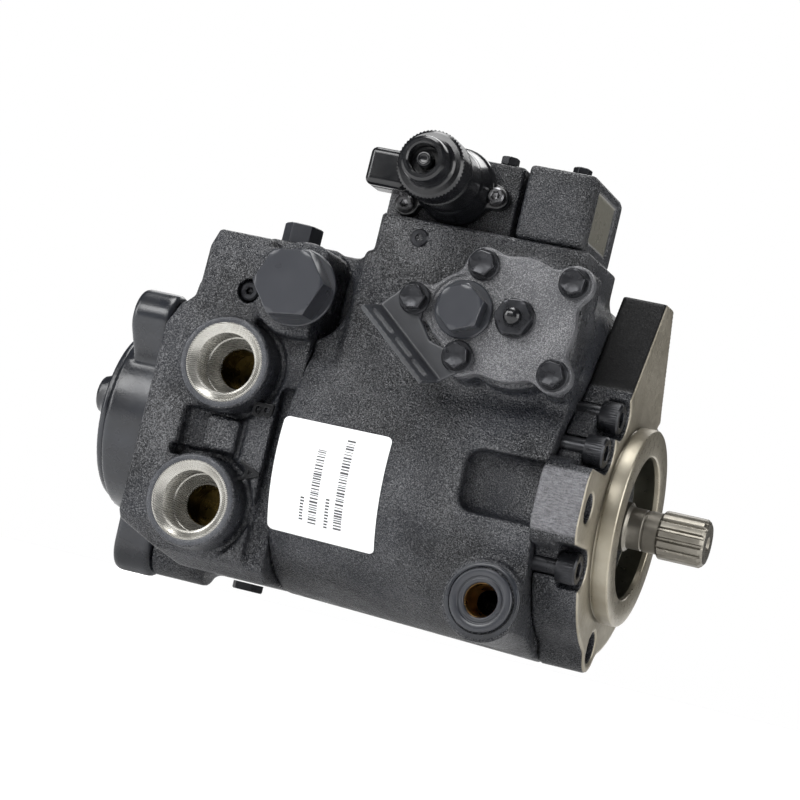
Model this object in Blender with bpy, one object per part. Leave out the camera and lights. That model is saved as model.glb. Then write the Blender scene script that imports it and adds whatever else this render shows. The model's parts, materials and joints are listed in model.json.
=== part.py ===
"""Closed-circuit axial piston pump with a built-in charge pump and electric displacement control.

The shaft runs along +X with its splined end towards +X, the port and cover side faces -Y and the
control stands on top.  The origin is the centre of the mounting pilot on the flange face.
Lengths below are millimetres; MM turns them into metres.
"""
import math

import bpy
import bmesh
from mathutils import Matrix, Vector

MM = 0.001
GAP = 0.3
FIT = 0.05
LAP = 1.0
ROUND = 32
MID = 20
SMALL = 12
HEX = 6
CORNER_STEPS = 6
BREAK = 0.5
TWIST = 0.06
WELD = 1e-6
STAGGER = 1.5

# mounting flange, pilot and front cover
PILOT_R = 50.8
PILOT_HEIGHT = 9.5
PILOT_BORE_R = 37.0
PILOT_BORE_FLOOR = -5.0
GROOVE_R = 48.8
GROOVE_WIDTH = 1.6
COVER_THICK = 24.0
COVER_DISC_R = 68.5
FLANGE_HOLE_Y = 73.0
FLANGE_HOLE_R = 7.4
EAR_R = 14.5
EAR_HALF_HEIGHT = 22.0
LUG_HOLE_Z = -64.0
LUG_HOLE_R = 8.0
LUG_R = 13.0
TOWER_TOP_Z = 114.0
TOWER_TOP_HALF = 9.0
TOWER_FOOT_Z = 60.0
TOWER_FOOT_HALF = 37.0
TOWER_ROOT_Z = 30.0
TOWER_ROOT_HALF = 44.0
COVER_SCREW_CIRCLE_R = 64.5
COVER_SCREW_ANGLES = (131.5, 153.0, 207.0, 333.0, 27.0, 48.5)
COVER_SCREW_R = 5.0
COVER_SCREW_HEAD_R = 8.0
COVER_SCREW_HEAD = 10.0
COVER_SCREW_DEPTH = 12.0
COVER_SCREW_POCKET_R = 10.5
COVER_SCREW_REACH = 22.0
SCREW_SOCKET_R = 4.6
SCREW_SOCKET_DEPTH = 5.0
SEAL_R = 20.0
SEAL_BORE_R = 12.6
SEAL_BACK = -13.0
BEARING_R = 30.0
BEARING_FRONT = -14.0
BEARING_BACK = -30.0
CRADLE_R = 50.85
CRADLE_BOSS_R = 55.7
CRADLE_BOSS_BACK = -66.0
CRADLE_EYE_R = 30.3

# drive shaft
SHAFT_END = 46.0
SPLINE_START = 22.0
SPLINE_TIP_R = 12.45
SPLINE_ROOT_R = 11.0
SPLINE_TEETH = 15
SPLINE_TOOTH = ((0.0, SPLINE_ROOT_R), (0.22, SPLINE_ROOT_R), (0.36, SPLINE_TIP_R), (0.86, SPLINE_TIP_R))
NECK_R = 10.6
NECK_BACK = 5.0
SHAFT_COLLAR_R = 16.5
SHAFT_COLLAR = 2.5
SEAL_SEAT_R = 12.5
BEARING_SEAT_R = 15.0
SHAFT_BODY_R = 12.5
SHAFT_TAIL_R = 10.0
SHAFT_REAR = -266.0
SHAFT_CENTRE_HOLE_R = 2.6
SHAFT_CENTRE_HOLE_DEPTH = 8.0

# barrel housing
SEAM_FRONT = -24.3
SEAM_REAR = -163.0
BARREL_R = 77.0
BARREL_REAR_R = 72.5
CAVITY_R = 56.0
SERVO_X = -55.0
SERVO_Z = 81.0
SERVO_BOSS_R = 33.0
SERVO_FACE = -80.0
SERVO_BOSS_BACK = 74.0
SERVO_BORE_R = 24.0
SERVO_BORE_BACK = 60.0
PLUG_LOBE_X = -80.0
PLUG_LOBE_Z = 80.5
PLUG_LOBE_R = 20.0
COVER_BOLTS = ((-105.0, 81.0), (-75.5, 104.2), (-28.9, 103.7), (-29.0, 57.9), (-76.8, 57.2))
BOLT_LOBE_R = 9.5
BOLT_LOBE_DEPTH = 26.0
PAD_X = (-147.0, -33.0)
PAD_Y = (-60.0, 5.0)
PAD_TOP = 125.0
PAD_STEP_X = -143.0
PAD_STEP_Z = 105.0
PAD_FOOT = 60.0
SHOULDER_X = (-162.0, -140.0)
SHOULDER_Y = (-56.0, 0.0)
SHOULDER_Z = (50.0, 100.0)
DRAIN_X = -40.7
DRAIN_Z = -54.7
DRAIN_BOSS_R = 20.4
DRAIN_FACE = -76.0
DRAIN_BOSS_BACK = -30.0
DRAIN_THREAD_R = 13.0
DRAIN_DEPTH = 56.0
DRAIN_EYE_R = 8.4
DRAIN_RIM_R = 15.6
DRAIN_RIM = 3.0
DRAIN_RIM_BREAK = 0.6
DRAIN_REACH = 16.0
BOLT_POCKET_X = (-68.0, -20.0)
BOLT_POCKET_Z = (-18.0, 20.0)
BOLT_POCKET_FLOOR = -62.0
ARM_SLOT_X = (-73.0, -38.0)
ARM_SLOT_HALF = 22.0
ARM_SLOT_Z = (36.0, 66.0)

# servo cover and its fittings
SERVO_COVER_THICK = 8.0
SERVO_COVER_LOBE_R = 31.0
COVER_BOLT_R = 4.0
COVER_BOLT_HEAD_R = 6.8
COVER_BOLT_HEAD = 6.5
COVER_BOLT_REACH = 18.0
BRACKET_THICK = 2.4
BRACKET_OUTLINE = ((-124.0, 74.0), (-84.0, 42.0), (-74.0, 49.5), (-67.5, 57.0), (-73.0, 66.0),
                   (-82.0, 60.5), (-92.0, 63.0), (-99.0, 72.0), (-98.0, 87.0), (-106.0, 90.0),
                   (-113.0, 86.0))
BRACKET_WING = 18.0
BRACKET_WING_SPREAD = 5.0
SERVO_PLUG_HEX_R = 13.2
SERVO_PLUG_HEX = 8.0
SERVO_PLUG_COLLAR_R = 14.6
SERVO_PLUG_COLLAR = 2.4
SERVO_PLUG_SHANK_R = 9.0
SERVO_PLUG_SHANK = 18.0
LIMITER_X = -53.9
LIMITER_Z = 81.4
LIMITER_HEX_R = 10.4
LIMITER_HEX = 6.0
LIMITER_STUD_R = 4.6
LIMITER_STUD_PROUD = 4.5
LIMITER_STUD_REACH = 30.0

# servo piston
SERVO_PISTON_R = 23.95
SERVO_PISTON_HALF = 44.0
SERVO_HEAD = 26.0
SERVO_WAIST_R = 15.0
SERVO_PIN_R = 5.0
SERVO_PIN_TOP = 80.0
SERVO_PIN_SLOT_LENGTH = 8.0
SERVO_PIN_SLOT_ROOF = 82.0
SERVO_PIN_PLAY = 0.12

# control on top
CONTROL_LEFT_X = (-146.0, -79.0)
CONTROL_RIGHT_X = (-73.0, -38.0)
CONTROL_FACE = -46.0
CONTROL_CAST_FACE = -60.0
CONTROL_GROOVE = -34.0
CONTROL_BACK = 5.0
CONTROL_Z = (125.3, 163.0)
CONTROL_PLATE_Y = (-48.0, -6.0)
CONTROL_PLATE_Z = (131.0, 157.0)
CONTROL_PLATE_DEPTH = 1.2
CONTROL_ROUND = 9.0
CONTROL_SCREWS = ((-50.0, -45.0), (-90.0, -38.0))
CONTROL_SCREW_R = 3.0
CONTROL_SCREW_HEAD_R = 5.0
CONTROL_SCREW_HEAD = 4.5
CONTROL_SCREW_REACH = 30.0
SOLENOID_X = -110.3
SOLENOID_Z = 145.7
SOLENOID_FLANGE = 7.0
SOLENOID_SCREWS = ((-134.0, 132.0), (-88.0, 144.0))
SOLENOID_EAR_R = 6.2
SOLENOID_BODY_R = 17.0
SOLENOID_SKIRT_R = 19.5
SOLENOID_TAPER = 10.0
SOLENOID_FRONT = -86.0
SOLENOID_STEM_R = 8.0
SOLENOID_STEM_FRONT = -98.0
NUT_BACK = -86.3
NUT_FRONT = -102.0
NUT_R = 17.4
NUT_DOME_FRONT = -116.0
NUT_DOME_R = 11.8
NUT_BORE_R = 8.3
NUT_WELL_R = 7.6
NUT_WELL_FLOOR = -108.0
BUTTON_R = 3.95
BUTTON_STEM_R = 2.6
BUTTON_FRONT = -114.0
BUTTON_BACK = -62.3
BUTTON_HEAD = 4.0
BUTTON_BORE_R = 2.7
BUTTON_HEAD_BORE_R = 4.0
CONNECTOR_X = (-150.0, -128.5)
CONNECTOR_Y = (-80.0, -58.0)
CONNECTOR_Z = (134.5, 154.0)
CONNECTOR_ROUND = 3.5
SPOOL_R = 4.95
SPOOL_BORE_R = 5.0
SPOOL_WAIST_R = 3.2
SPOOL_Y = (-62.0, -12.0)
SPOOL_BORE_BACK = -5.0
SPOOL_BORE_FRONT = -65.7
SPOOL_LANDS = 5
GAUGE_X = -120.5
GAUGE_Z = 115.2
GAUGE_R = 5.0
GAUGE_PROUD = 0.8
GAUGE_DEPTH = 12.0
GAUGE_SOCKET_R = 2.0
GAUGE_SOCKET_DEPTH = 4.0

# end cover with the working ports
END_FRONT = -163.3
END_REAR = -241.0
END_FACE = -66.0
END_BACK = 62.0
END_OUTLINE = ((-241.0, -56.0), (-241.0, 46.0), (-236.0, 56.0), (-229.0, 63.0), (-227.5, 72.0),
               (-227.0, 101.0), (-198.0, 101.0), (-196.0, 96.0), (-163.3, 96.0), (-163.3, -72.5),
               (-212.0, -72.5))
END_SECTION = ((-66.0, -52.0), (-52.0, -66.0), (-38.0, -72.5), (34.0, -72.5), (62.0, -46.0),
               (62.0, 60.0), (30.0, 101.0), (-58.0, 101.0), (-66.0, 90.0))
PORT_X = -202.0
PORT_B_Z = 32.3
PORT_A_Z = -39.4
PORT_FACE = -72.0
PORT_BOSS_R = 24.0
PORT_THREAD_R = 15.4
PORT_MOUTH_R = 19.2
PORT_MOUTH_DEPTH = 2.5
PORT_THREAD_DEPTH = 19.0
PORT_CORE_R = 10.5
PORT_DEPTH = 44.0
PORT_BREAK = 0.6
RELIEF_X = -174.3
RELIEF_Z = 77.3
RELIEF_BOSS_R = 24.0
RELIEF_BOSS_FACE = -66.5
RELIEF_BOSS_BACK = -30.0
RELIEF_CLEARANCE = 1.5
RELIEF_FLANGE_R = 20.0
RELIEF_FLANGE = 3.0
RELIEF_HEX_R = 19.0
RELIEF_HEX = 15.0
RELIEF_SHANK_R = 13.0
RELIEF_SHANK = 24.0
TOP_PLUG_X = -196.5
TOP_PLUG_Y = -20.0
TOP_PLUG_SEAT = 104.5
TOP_PLUG_HEX_R = 10.5
TOP_PLUG_HEX = 10.5
TOP_BRIDGE_X = (-209.0, -170.0)
TOP_BRIDGE_Y = (-33.0, -6.0)
TOP_BRIDGE_FOOT = 80.0
TOP_PLUG_SHANK_R = 6.0
TOP_PLUG_SHANK = 14.0
SOCKET_PLUG_X = -200.5
SOCKET_PLUG_Z = 71.0
SOCKET_PLUG_R = 5.0
SOCKET_PLUG_DEPTH = 10.0
SHAFT_PASSAGE_R = 12.7
BOTTOM_PLUG_X = -186.5
BOTTOM_PLUG_SEAT = -72.5
BOTTOM_PLUG_R = 8.6
BOTTOM_PLUG_DROP = 4.0
BOTTOM_PLUG_SHANK_R = 5.0
BOTTOM_PLUG_SHANK = 16.0

# charge pump
CHARGE_FRONT = -241.3
CHARGE_REAR = -268.0
CHARGE_EAR_REAR = -263.0
CHARGE_DISC_R = 49.6
CHARGE_R = 50.0
CHARGE_EARS = ((-45.0, 49.0), (5.0, -67.0), (57.0, 26.0))
END_EAR_R = 12.5
END_EAR_REACH = 30.0
CHARGE_EAR_R = 14.5
CHARGE_NECK_R = 25.0
CHARGE_SCREW_R = 5.0
CHARGE_SCREW_HEAD_R = 8.0
CHARGE_SCREW_HEAD = 8.0
CHARGE_SCREW_REACH = 24.0
CHARGE_COVER_R = 46.0
CHARGE_COVER_THICK = 8.0
CHARGE_COVER_CROWN_R = 38.0
CHARGE_BUMP_R = 10.0
CHARGE_BUMP = 5.0
CHARGE_BUMP_Z = 6.0
ROTOR_FRONT = -254.0
ROTOR_REAR = -267.0
ROTOR_PITCH_R = 21.0
ROTOR_OFFSET = 2.1
ROTOR_TOOTH_R = 6.0
ROTOR_CLEARANCE = 0.12
ROTOR_RING_R = 30.0
ROTOR_TEETH = 7
ROTOR_STEPS = 12
ROTOR_FINE = 3600
ROTOR_SLACK = 0.3
RING_TOOTH_STEPS = 8
RING_ROOT_STEPS = 4

# rotating group
PIVOT_X = -92.0
SWASH_R = 48.0
SWASH_DISC_R = 47.0
SWASH_FACE = -84.0
SWASH_FRONT = -40.0
SWASH_EYE_R = 27.0
ARM_R = 9.0
ARM_FOOT_Z = 34.0
ARM_SHOULDER_Z = 56.0
SHELL_INNER_R = 48.15
SHELL_OUTER_R = 50.5
SHELL_Z = (32.0, 42.0)
SHELL_HALF_ANGLE = 38.0
SHELL_STEPS = 14
BLOCK_FRONT = -113.0
BLOCK_REAR = -157.9
BLOCK_R = 50.0
BLOCK_EYE_R = 12.55
BLOCK_SPRING_WELL_R = 20.0
BLOCK_SPRING_WELL = 20.0
PISTON_COUNT = 9
PISTON_CIRCLE_R = 35.0
PISTON_R = 8.0
PISTON_BORE_R = 8.04
PISTON_REAR = -141.0
PISTON_SHOULDER = -98.5
PISTON_NECK_R = 5.0
BALL_R = 6.4
SLIPPER_R = 10.4
SLIPPER_FRONT = -84.05
SLIPPER_THICK = 3.6
SLIPPER_CUP_R = 8.0
BORE_FLOOR = -153.0
KIDNEY_HALF_WIDTH = 4.0
KIDNEY_HALF_LENGTH = 6.5
PLATE_FRONT = -158.0
PLATE_REAR = -162.95
PLATE_R = 50.0
PLATE_EYE_R = 16.0
PLATE_SLOT_SPAN = 65.0
PLATE_SLOT_STEPS = 9
RETAINER_FRONT = -88.3
RETAINER_THICK = 1.8
RETAINER_R = 44.0
RETAINER_EYE_R = 21.5
RETAINER_HOLE_R = 8.6
SPRING_R = 15.5
SPRING_WIRE_R = 1.5
SPRING_TURNS = 3
SPRING_STEPS = 16
SPRING_SIDES = 6

PAINT = "cast_paint"
SATIN = "machined_paint"
BARE = "bare_iron"
STEEL = "steel"
BLACK_OXIDE = "black_oxide"
BRONZE = "bronze"
POLYMER = "black_polymer"
RUBBER = "seal_rubber"
SPRING_STEEL = "spring_steel"

LOOKS = {
    PAINT: ((0.022, 0.024, 0.029), 0.25, 0.42),
    SATIN: ((0.045, 0.047, 0.053), 0.35, 0.38),
    BARE: ((0.46, 0.43, 0.38), 0.9, 0.36),
    STEEL: ((0.52, 0.50, 0.46), 0.95, 0.3),
    BLACK_OXIDE: ((0.03, 0.03, 0.033), 0.6, 0.32),
    BRONZE: ((0.55, 0.36, 0.14), 0.95, 0.35),
    POLYMER: ((0.012, 0.012, 0.014), 0.0, 0.3),
    RUBBER: ((0.02, 0.02, 0.02), 0.0, 0.6),
    SPRING_STEEL: ((0.35, 0.34, 0.33), 0.9, 0.35),
}


def clear_scene():
    """Empty the scene."""
    for obj in list(bpy.data.objects):
        bpy.data.objects.remove(obj, do_unlink=True)


def paint(obj, look):
    """Give the piece its own material with the named look."""
    colour, metallic, roughness = LOOKS[look]
    material = bpy.data.materials.new(obj.name + "_" + look)
    material.use_nodes = True
    shader = material.node_tree.nodes["Principled BSDF"]
    shader.inputs["Base Color"].default_value = (*colour, 1.0)
    shader.inputs["Metallic"].default_value = metallic
    shader.inputs["Roughness"].default_value = roughness
    obj.data.materials.clear()
    obj.data.materials.append(material)


def place(axis, u, v, h):
    """Point at (u, v) across the axis and h along it: X takes (y, z), Y takes (x, z), Z (x, y)."""
    if axis == "X":
        return Vector((h, u, v)) * MM
    if axis == "Y":
        return Vector((u, h, v)) * MM
    return Vector((u, v, h)) * MM


def solid(name, points, faces):
    """Closed body from points in metres and faces."""
    mesh = bpy.data.meshes.new(name)
    mesh.from_pydata([tuple(p) for p in points], [], faces)
    work = bmesh.new()
    work.from_mesh(mesh)
    bmesh.ops.recalc_face_normals(work, faces=work.faces)
    work.to_mesh(mesh)
    work.free()
    obj = bpy.data.objects.new(name, mesh)
    bpy.context.scene.collection.objects.link(obj)
    return obj


def turn(name, axis, centre, profile, segments=ROUND, phase=0.0):
    """Body of revolution from a closed loop of (radius, station) about a line through centre."""
    points = []
    rings = []
    for radius, station in profile:
        if radius == 0:
            rings.append([len(points)])
            points.append(place(axis, centre[0], centre[1], station))
            continue
        rings.append(range(len(points), len(points) + segments))
        for k in range(segments):
            angle = phase + 2 * math.pi * k / segments
            u = centre[0] + radius * math.cos(angle)
            v = centre[1] + radius * math.sin(angle)
            points.append(place(axis, u, v, station))
    faces = []
    for here, there in zip(rings, rings[1:] + rings[:1]):
        if len(here) == 1 and len(there) == 1:
            continue
        for k in range(segments):
            n = (k + 1) % segments
            if len(here) == 1:
                faces.append((here[0], there[n], there[k]))
            elif len(there) == 1:
                faces.append((here[k], here[n], there[0]))
            else:
                faces.append((here[k], here[n], there[n], there[k]))
    return solid(name, points, faces)


def rod(name, axis, centre, radius, low, high, segments=MID, phase=TWIST):
    """Plain cylinder from low to high."""
    return prism(name, axis, circle(centre, radius, segments, phase), low, high)


def drill(name, axis, centre, radius, low, high, segments=MID):
    """Cylinder whose flats, not corners, lie on the radius, for cutting a hole to size."""
    return rod(name, axis, centre, radius / math.cos(math.pi / segments), low, high, segments)


def ream(name, axis, centre, profile, segments=ROUND):
    """Turned body for cutting a stepped hole to size."""
    grow = 1 / math.cos(math.pi / segments)
    return turn(name, axis, centre, [(radius * grow, station) for radius, station in profile], segments)


def ring(name, axis, centre, inner, outer, low, high, segments=ROUND):
    """Washer-like ring."""
    eye = inner / math.cos(math.pi / segments)
    profile = [(eye, low), (outer, low), (outer, high), (eye, high)]
    return turn(name, axis, centre, profile, segments)


def circle(centre, radius, segments, phase=0.0):
    """Points round a circle."""
    angles = [phase + 2 * math.pi * k / segments for k in range(segments)]
    return [(centre[0] + radius * math.cos(a), centre[1] + radius * math.sin(a)) for a in angles]


def prism(name, axis, outline, low, high):
    """Outline pushed along an axis from low to high."""
    count = len(outline)
    points = [place(axis, u, v, h) for h in (low, high) for u, v in outline]
    faces = [tuple(range(count)), tuple(range(2 * count - 1, count - 1, -1))]
    for k in range(count):
        n = (k + 1) % count
        faces.append((k, n, count + n, count + k))
    return solid(name, points, faces)


def box(name, x, y, z):
    """Block between pairs of limits."""
    outline = [(x[0], y[0]), (x[1], y[0]), (x[1], y[1]), (x[0], y[1])]
    return prism(name, "Z", outline, z[0], z[1])


def hull(points):
    """Convex outline round a set of points."""
    ordered = sorted(set(points))

    def half(run):
        chain = []
        for p in run:
            while len(chain) > 1 and turn_of(chain[-2], chain[-1], p) <= 0:
                chain.pop()
            chain.append(p)
        return chain[:-1]

    return half(ordered) + half(reversed(ordered))


def turn_of(a, b, c):
    """Signed area of the corner a, b, c."""
    return (b[0] - a[0]) * (c[1] - a[1]) - (b[1] - a[1]) * (c[0] - a[0])


def lobed(name, axis, discs, low, high, segments=MID):
    """Convex plate wrapped round a set of (u, v, radius) discs."""
    return prism(name, axis, lobe_outline(discs, segments), low, high)


def soft_box(u, v, radius, steps=4):
    """Rectangle outline with rounded corners."""
    corners = ((u[1] - radius, v[1] - radius, 0), (u[0] + radius, v[1] - radius, 1),
               (u[0] + radius, v[0] + radius, 2), (u[1] - radius, v[0] + radius, 3))
    outline = []
    for cu, cv, quarter in corners:
        for k in range(steps + 1):
            angle = math.pi / 2 * (quarter + k / steps)
            outline.append((cu + radius * math.cos(angle), cv + radius * math.sin(angle)))
    return outline


def weld(mesh):
    """Close hairline gaps left where two cuts meet."""
    work = bmesh.new()
    work.from_mesh(mesh)
    bmesh.ops.remove_doubles(work, verts=work.verts, dist=WELD)
    bmesh.ops.dissolve_degenerate(work, edges=work.edges, dist=WELD)
    work.to_mesh(mesh)
    work.free()


def slab(name, axis, outlines, low, high):
    """Flat plate whose outline is several outlines merged."""
    plate = None
    for k, outline in enumerate(outlines):
        extra = STAGGER * (k + 1)
        piece = prism(name, axis, outline, low - extra, high + extra)
        plate = add(plate, piece) if plate else piece
    return keep(plate, prism("trim", axis, circle((0, 0), 5 * BARREL_R, 4), low, high))


def lobe_outline(discs, segments=MID):
    """Convex outline wrapped round a set of (u, v, radius) discs."""
    points = []
    for u, v, radius in discs:
        points += circle((u, v), radius, segments, TWIST)
    return hull(points)


def combine(base, tool, operation):
    """Add, cut or keep the common part of two solids and drop the tool."""
    step = base.modifiers.new(operation, "BOOLEAN")
    step.operation = operation
    step.solver = "EXACT"
    step.object = tool
    tool.hide_render = True
    tool.display_type = "WIRE"
    bpy.context.view_layer.update()
    graph = bpy.context.evaluated_depsgraph_get()
    result = bpy.data.meshes.new_from_object(base.evaluated_get(graph))
    base.modifiers.clear()
    base.data = result
    weld(result)
    bpy.data.objects.remove(tool, do_unlink=True)
    return base


def add(base, tool):
    """Merge a tool into a body."""
    return combine(base, tool, "UNION")


def cut(base, tool):
    """Take a tool out of a body."""
    return combine(base, tool, "DIFFERENCE")


def keep(base, tool):
    """Keep only what lies inside the tool."""
    return combine(base, tool, "INTERSECT")


def set_origin(obj, x, y, z):
    """Move the object's origin to a point without moving its surface."""
    point = Vector((x, y, z)) * MM
    obj.data.transform(Matrix.Translation(-point))
    obj.location = point


def screw_places():
    """Centres (y, z) of the screws that hold the front cover."""
    angles = [math.radians(a) for a in COVER_SCREW_ANGLES]
    return [(COVER_SCREW_CIRCLE_R * math.cos(a), COVER_SCREW_CIRCLE_R * math.sin(a)) for a in angles]


def piston_places():
    """Centres (y, z) of the piston bores with the shaft at rest."""
    step = 2 * math.pi / PISTON_COUNT
    angles = [step * k for k in range(PISTON_COUNT)]
    return [(PISTON_CIRCLE_R * math.cos(a), PISTON_CIRCLE_R * math.sin(a)) for a in angles]


def tower_outline():
    """Tapered plate that rises from the flange in front of the control."""
    return [(-TOWER_ROOT_HALF, TOWER_ROOT_Z), (TOWER_ROOT_HALF, TOWER_ROOT_Z),
            (TOWER_FOOT_HALF, TOWER_FOOT_Z), (TOWER_TOP_HALF, TOWER_TOP_Z),
            (-TOWER_TOP_HALF, TOWER_TOP_Z), (-TOWER_FOOT_HALF, TOWER_FOOT_Z)]


def build_front_cover():
    """Flange plate with pilot, ears, tower and the seat of the cradle."""
    low = -COVER_THICK
    outlines = [circle((0, 0), COVER_DISC_R, ROUND, TWIST)]
    ear_z = EAR_HALF_HEIGHT - EAR_R
    root = COVER_DISC_R - 2 * EAR_R
    for side in (-1, 1):
        discs = [(side * FLANGE_HOLE_Y, ear_z, EAR_R), (side * FLANGE_HOLE_Y, -ear_z, EAR_R),
                 (side * root, ear_z + EAR_R, EAR_R), (side * root, -ear_z - EAR_R, EAR_R)]
        outlines.append(lobe_outline(discs))
    lug = [(0, LUG_HOLE_Z, LUG_R), (-LUG_R, -2 * LUG_R, LUG_R), (LUG_R, -2 * LUG_R, LUG_R)]
    outlines.append(lobe_outline(lug))
    outlines.append(tower_outline())
    body = slab("front_cover", "X", outlines, low, 0.0)
    pilot = [(0, -LAP), (GROOVE_R, -LAP), (GROOVE_R, GROOVE_WIDTH), (PILOT_R, GROOVE_WIDTH),
             (PILOT_R, PILOT_HEIGHT - LAP), (PILOT_R - LAP, PILOT_HEIGHT), (0, PILOT_HEIGHT)]
    add(body, turn("pilot", "X", (0, 0), pilot))
    boss = rod("boss", "X", (0, 0), CRADLE_BOSS_R, CRADLE_BOSS_BACK, low + LAP, ROUND)
    cut(boss, drill("seat", "Z", (PIVOT_X, 0), CRADLE_R, -BARREL_R, BARREL_R, ROUND))
    arm_y = (-ARM_SLOT_HALF, ARM_SLOT_HALF)
    cut(boss, box("slot", (CRADLE_BOSS_BACK - LAP, ARM_SLOT_X[1]), arm_y, (SHELL_Z[0] - LAP, BARREL_R)))
    add(body, boss)
    well = [(0, BEARING_BACK - 2 * COVER_THICK), (CRADLE_EYE_R, BEARING_BACK - 2 * COVER_THICK),
            (CRADLE_EYE_R, BEARING_FRONT), (SEAL_R, BEARING_FRONT), (SEAL_R, PILOT_BORE_FLOOR),
            (PILOT_BORE_R, PILOT_BORE_FLOOR), (PILOT_BORE_R, PILOT_HEIGHT + LAP),
            (0, PILOT_HEIGHT + LAP)]
    cut(body, ream("well", "X", (0, 0), well))
    for side in (-1, 1):
        cut(body, drill("hole", "X", (side * FLANGE_HOLE_Y, 0), FLANGE_HOLE_R, low - LAP, LAP))
    cut(body, drill("hole", "X", (0, LUG_HOLE_Z), LUG_HOLE_R, low - LAP, LAP))
    for y, z in screw_places():
        cut(body, drill("hole", "X", (y, z), COVER_SCREW_R + GAP, low - LAP, LAP, SMALL))
        reach = COVER_SCREW_POCKET_R * 2 * math.copysign(1, y)
        discs = [(y, z, COVER_SCREW_POCKET_R), (y + reach, z, COVER_SCREW_POCKET_R)]
        cut(body, lobed("pocket", "X", discs, -COVER_SCREW_DEPTH, LAP, SMALL))
    paint(body, BARE)
    return body


def build_housing():
    """Barrel with the servo boss, the control pad, the drain boss and the rotating group's cavity."""
    barrel = [(0, SEAM_REAR), (BARREL_REAR_R, SEAM_REAR), (BARREL_R, SEAM_FRONT + LAP), (0, SEAM_FRONT + LAP)]
    body = turn("main_housing", "X", (0, 0), barrel, ROUND, TWIST)
    pad = [(PAD_X[0], PAD_FOOT), (PAD_X[1], PAD_FOOT), (PAD_X[1], PAD_TOP), (PAD_STEP_X, PAD_TOP),
           (PAD_STEP_X, PAD_STEP_Z), (PAD_X[0], PAD_STEP_Z)]
    add(body, prism("pad", "Y", pad, *PAD_Y))
    add(body, box("shoulder", SHOULDER_X, SHOULDER_Y, SHOULDER_Z))
    servo = rod("servo", "Y", (SERVO_X, SERVO_Z), SERVO_BOSS_R, SERVO_FACE, SERVO_BOSS_BACK, ROUND)
    add(body, servo)
    lobe = rod("lobe", "Y", (PLUG_LOBE_X, PLUG_LOBE_Z), PLUG_LOBE_R, SERVO_FACE - STAGGER, PAD_Y[1] - LAP)
    add(body, lobe)
    for k, (x, z) in enumerate(COVER_BOLTS):
        front = SERVO_FACE - STAGGER * (k + 2)
        discs = [(x, z, BOLT_LOBE_R), (SERVO_X, SERVO_Z, BOLT_LOBE_R)]
        add(body, lobed("lobe", "Y", discs, front, SERVO_FACE + BOLT_LOBE_DEPTH + k * LAP, SMALL))
    drain = rod("drain", "Y", (DRAIN_X, DRAIN_Z), DRAIN_BOSS_R, DRAIN_FACE, DRAIN_BOSS_BACK)
    add(body, drain)
    keep(body, box("trim", (SEAM_REAR - LAP, SEAM_FRONT), (SERVO_FACE, 2 * BARREL_R),
                   (-2 * BARREL_R, 2 * BARREL_R)))
    cut(body, drill("cavity", "X", (0, 0), CAVITY_R, SEAM_REAR - LAP, SEAM_FRONT + LAP, ROUND))
    bore = drill("bore", "Y", (SERVO_X, SERVO_Z), SERVO_BORE_R, SERVO_FACE - LAP, SERVO_BORE_BACK, ROUND)
    cut(body, bore)
    cut(body, box("slot", ARM_SLOT_X, (-ARM_SLOT_HALF, ARM_SLOT_HALF), ARM_SLOT_Z))
    for x, z in COVER_BOLTS:
        reach = SERVO_FACE + COVER_BOLT_REACH + LAP
        cut(body, drill("thread", "Y", (x, z), COVER_BOLT_R + GAP, SERVO_FACE - LAP, reach, SMALL))
    cut(body, drill("port", "Y", (DRAIN_X, DRAIN_Z), DRAIN_THREAD_R + GAP, DRAIN_FACE - LAP,
                    DRAIN_FACE + DRAIN_DEPTH))
    plug_back = SERVO_FACE + SERVO_PLUG_SHANK
    cut(body, drill("port", "Y", (PLUG_LOBE_X, PLUG_LOBE_Z), SERVO_PLUG_SHANK_R + GAP,
                  SERVO_FACE - LAP, plug_back, SMALL))
    for side in (-1, 1):
        floor = sorted((side * -BOLT_POCKET_FLOOR, side * 2 * BARREL_R))
        cut(body, box("pocket", BOLT_POCKET_X, floor, BOLT_POCKET_Z))
    for y, z in screw_places():
        reach = SEAM_FRONT - COVER_SCREW_REACH
        cut(body, drill("thread", "X", (y, z), COVER_SCREW_R + GAP, reach, SEAM_FRONT + LAP, SMALL))
    cut(body, drill("relief", "Y", (RELIEF_X, RELIEF_Z), RELIEF_BOSS_R + RELIEF_CLEARANCE,
                  -BARREL_R, RELIEF_BOSS_BACK + RELIEF_CLEARANCE))
    cut(body, drill("gauge", "Y", (GAUGE_X, GAUGE_Z), GAUGE_R + GAP, PAD_Y[0] - LAP,
                  PAD_Y[0] + GAUGE_DEPTH, SMALL))
    for x, y in CONTROL_SCREWS:
        cut(body, drill("thread", "Z", (x, y), CONTROL_SCREW_R + GAP, PAD_TOP - 2 * CONTROL_SCREW_REACH / 3,
                      PAD_TOP + LAP, SMALL))
    paint(body, PAINT)
    return body


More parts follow.
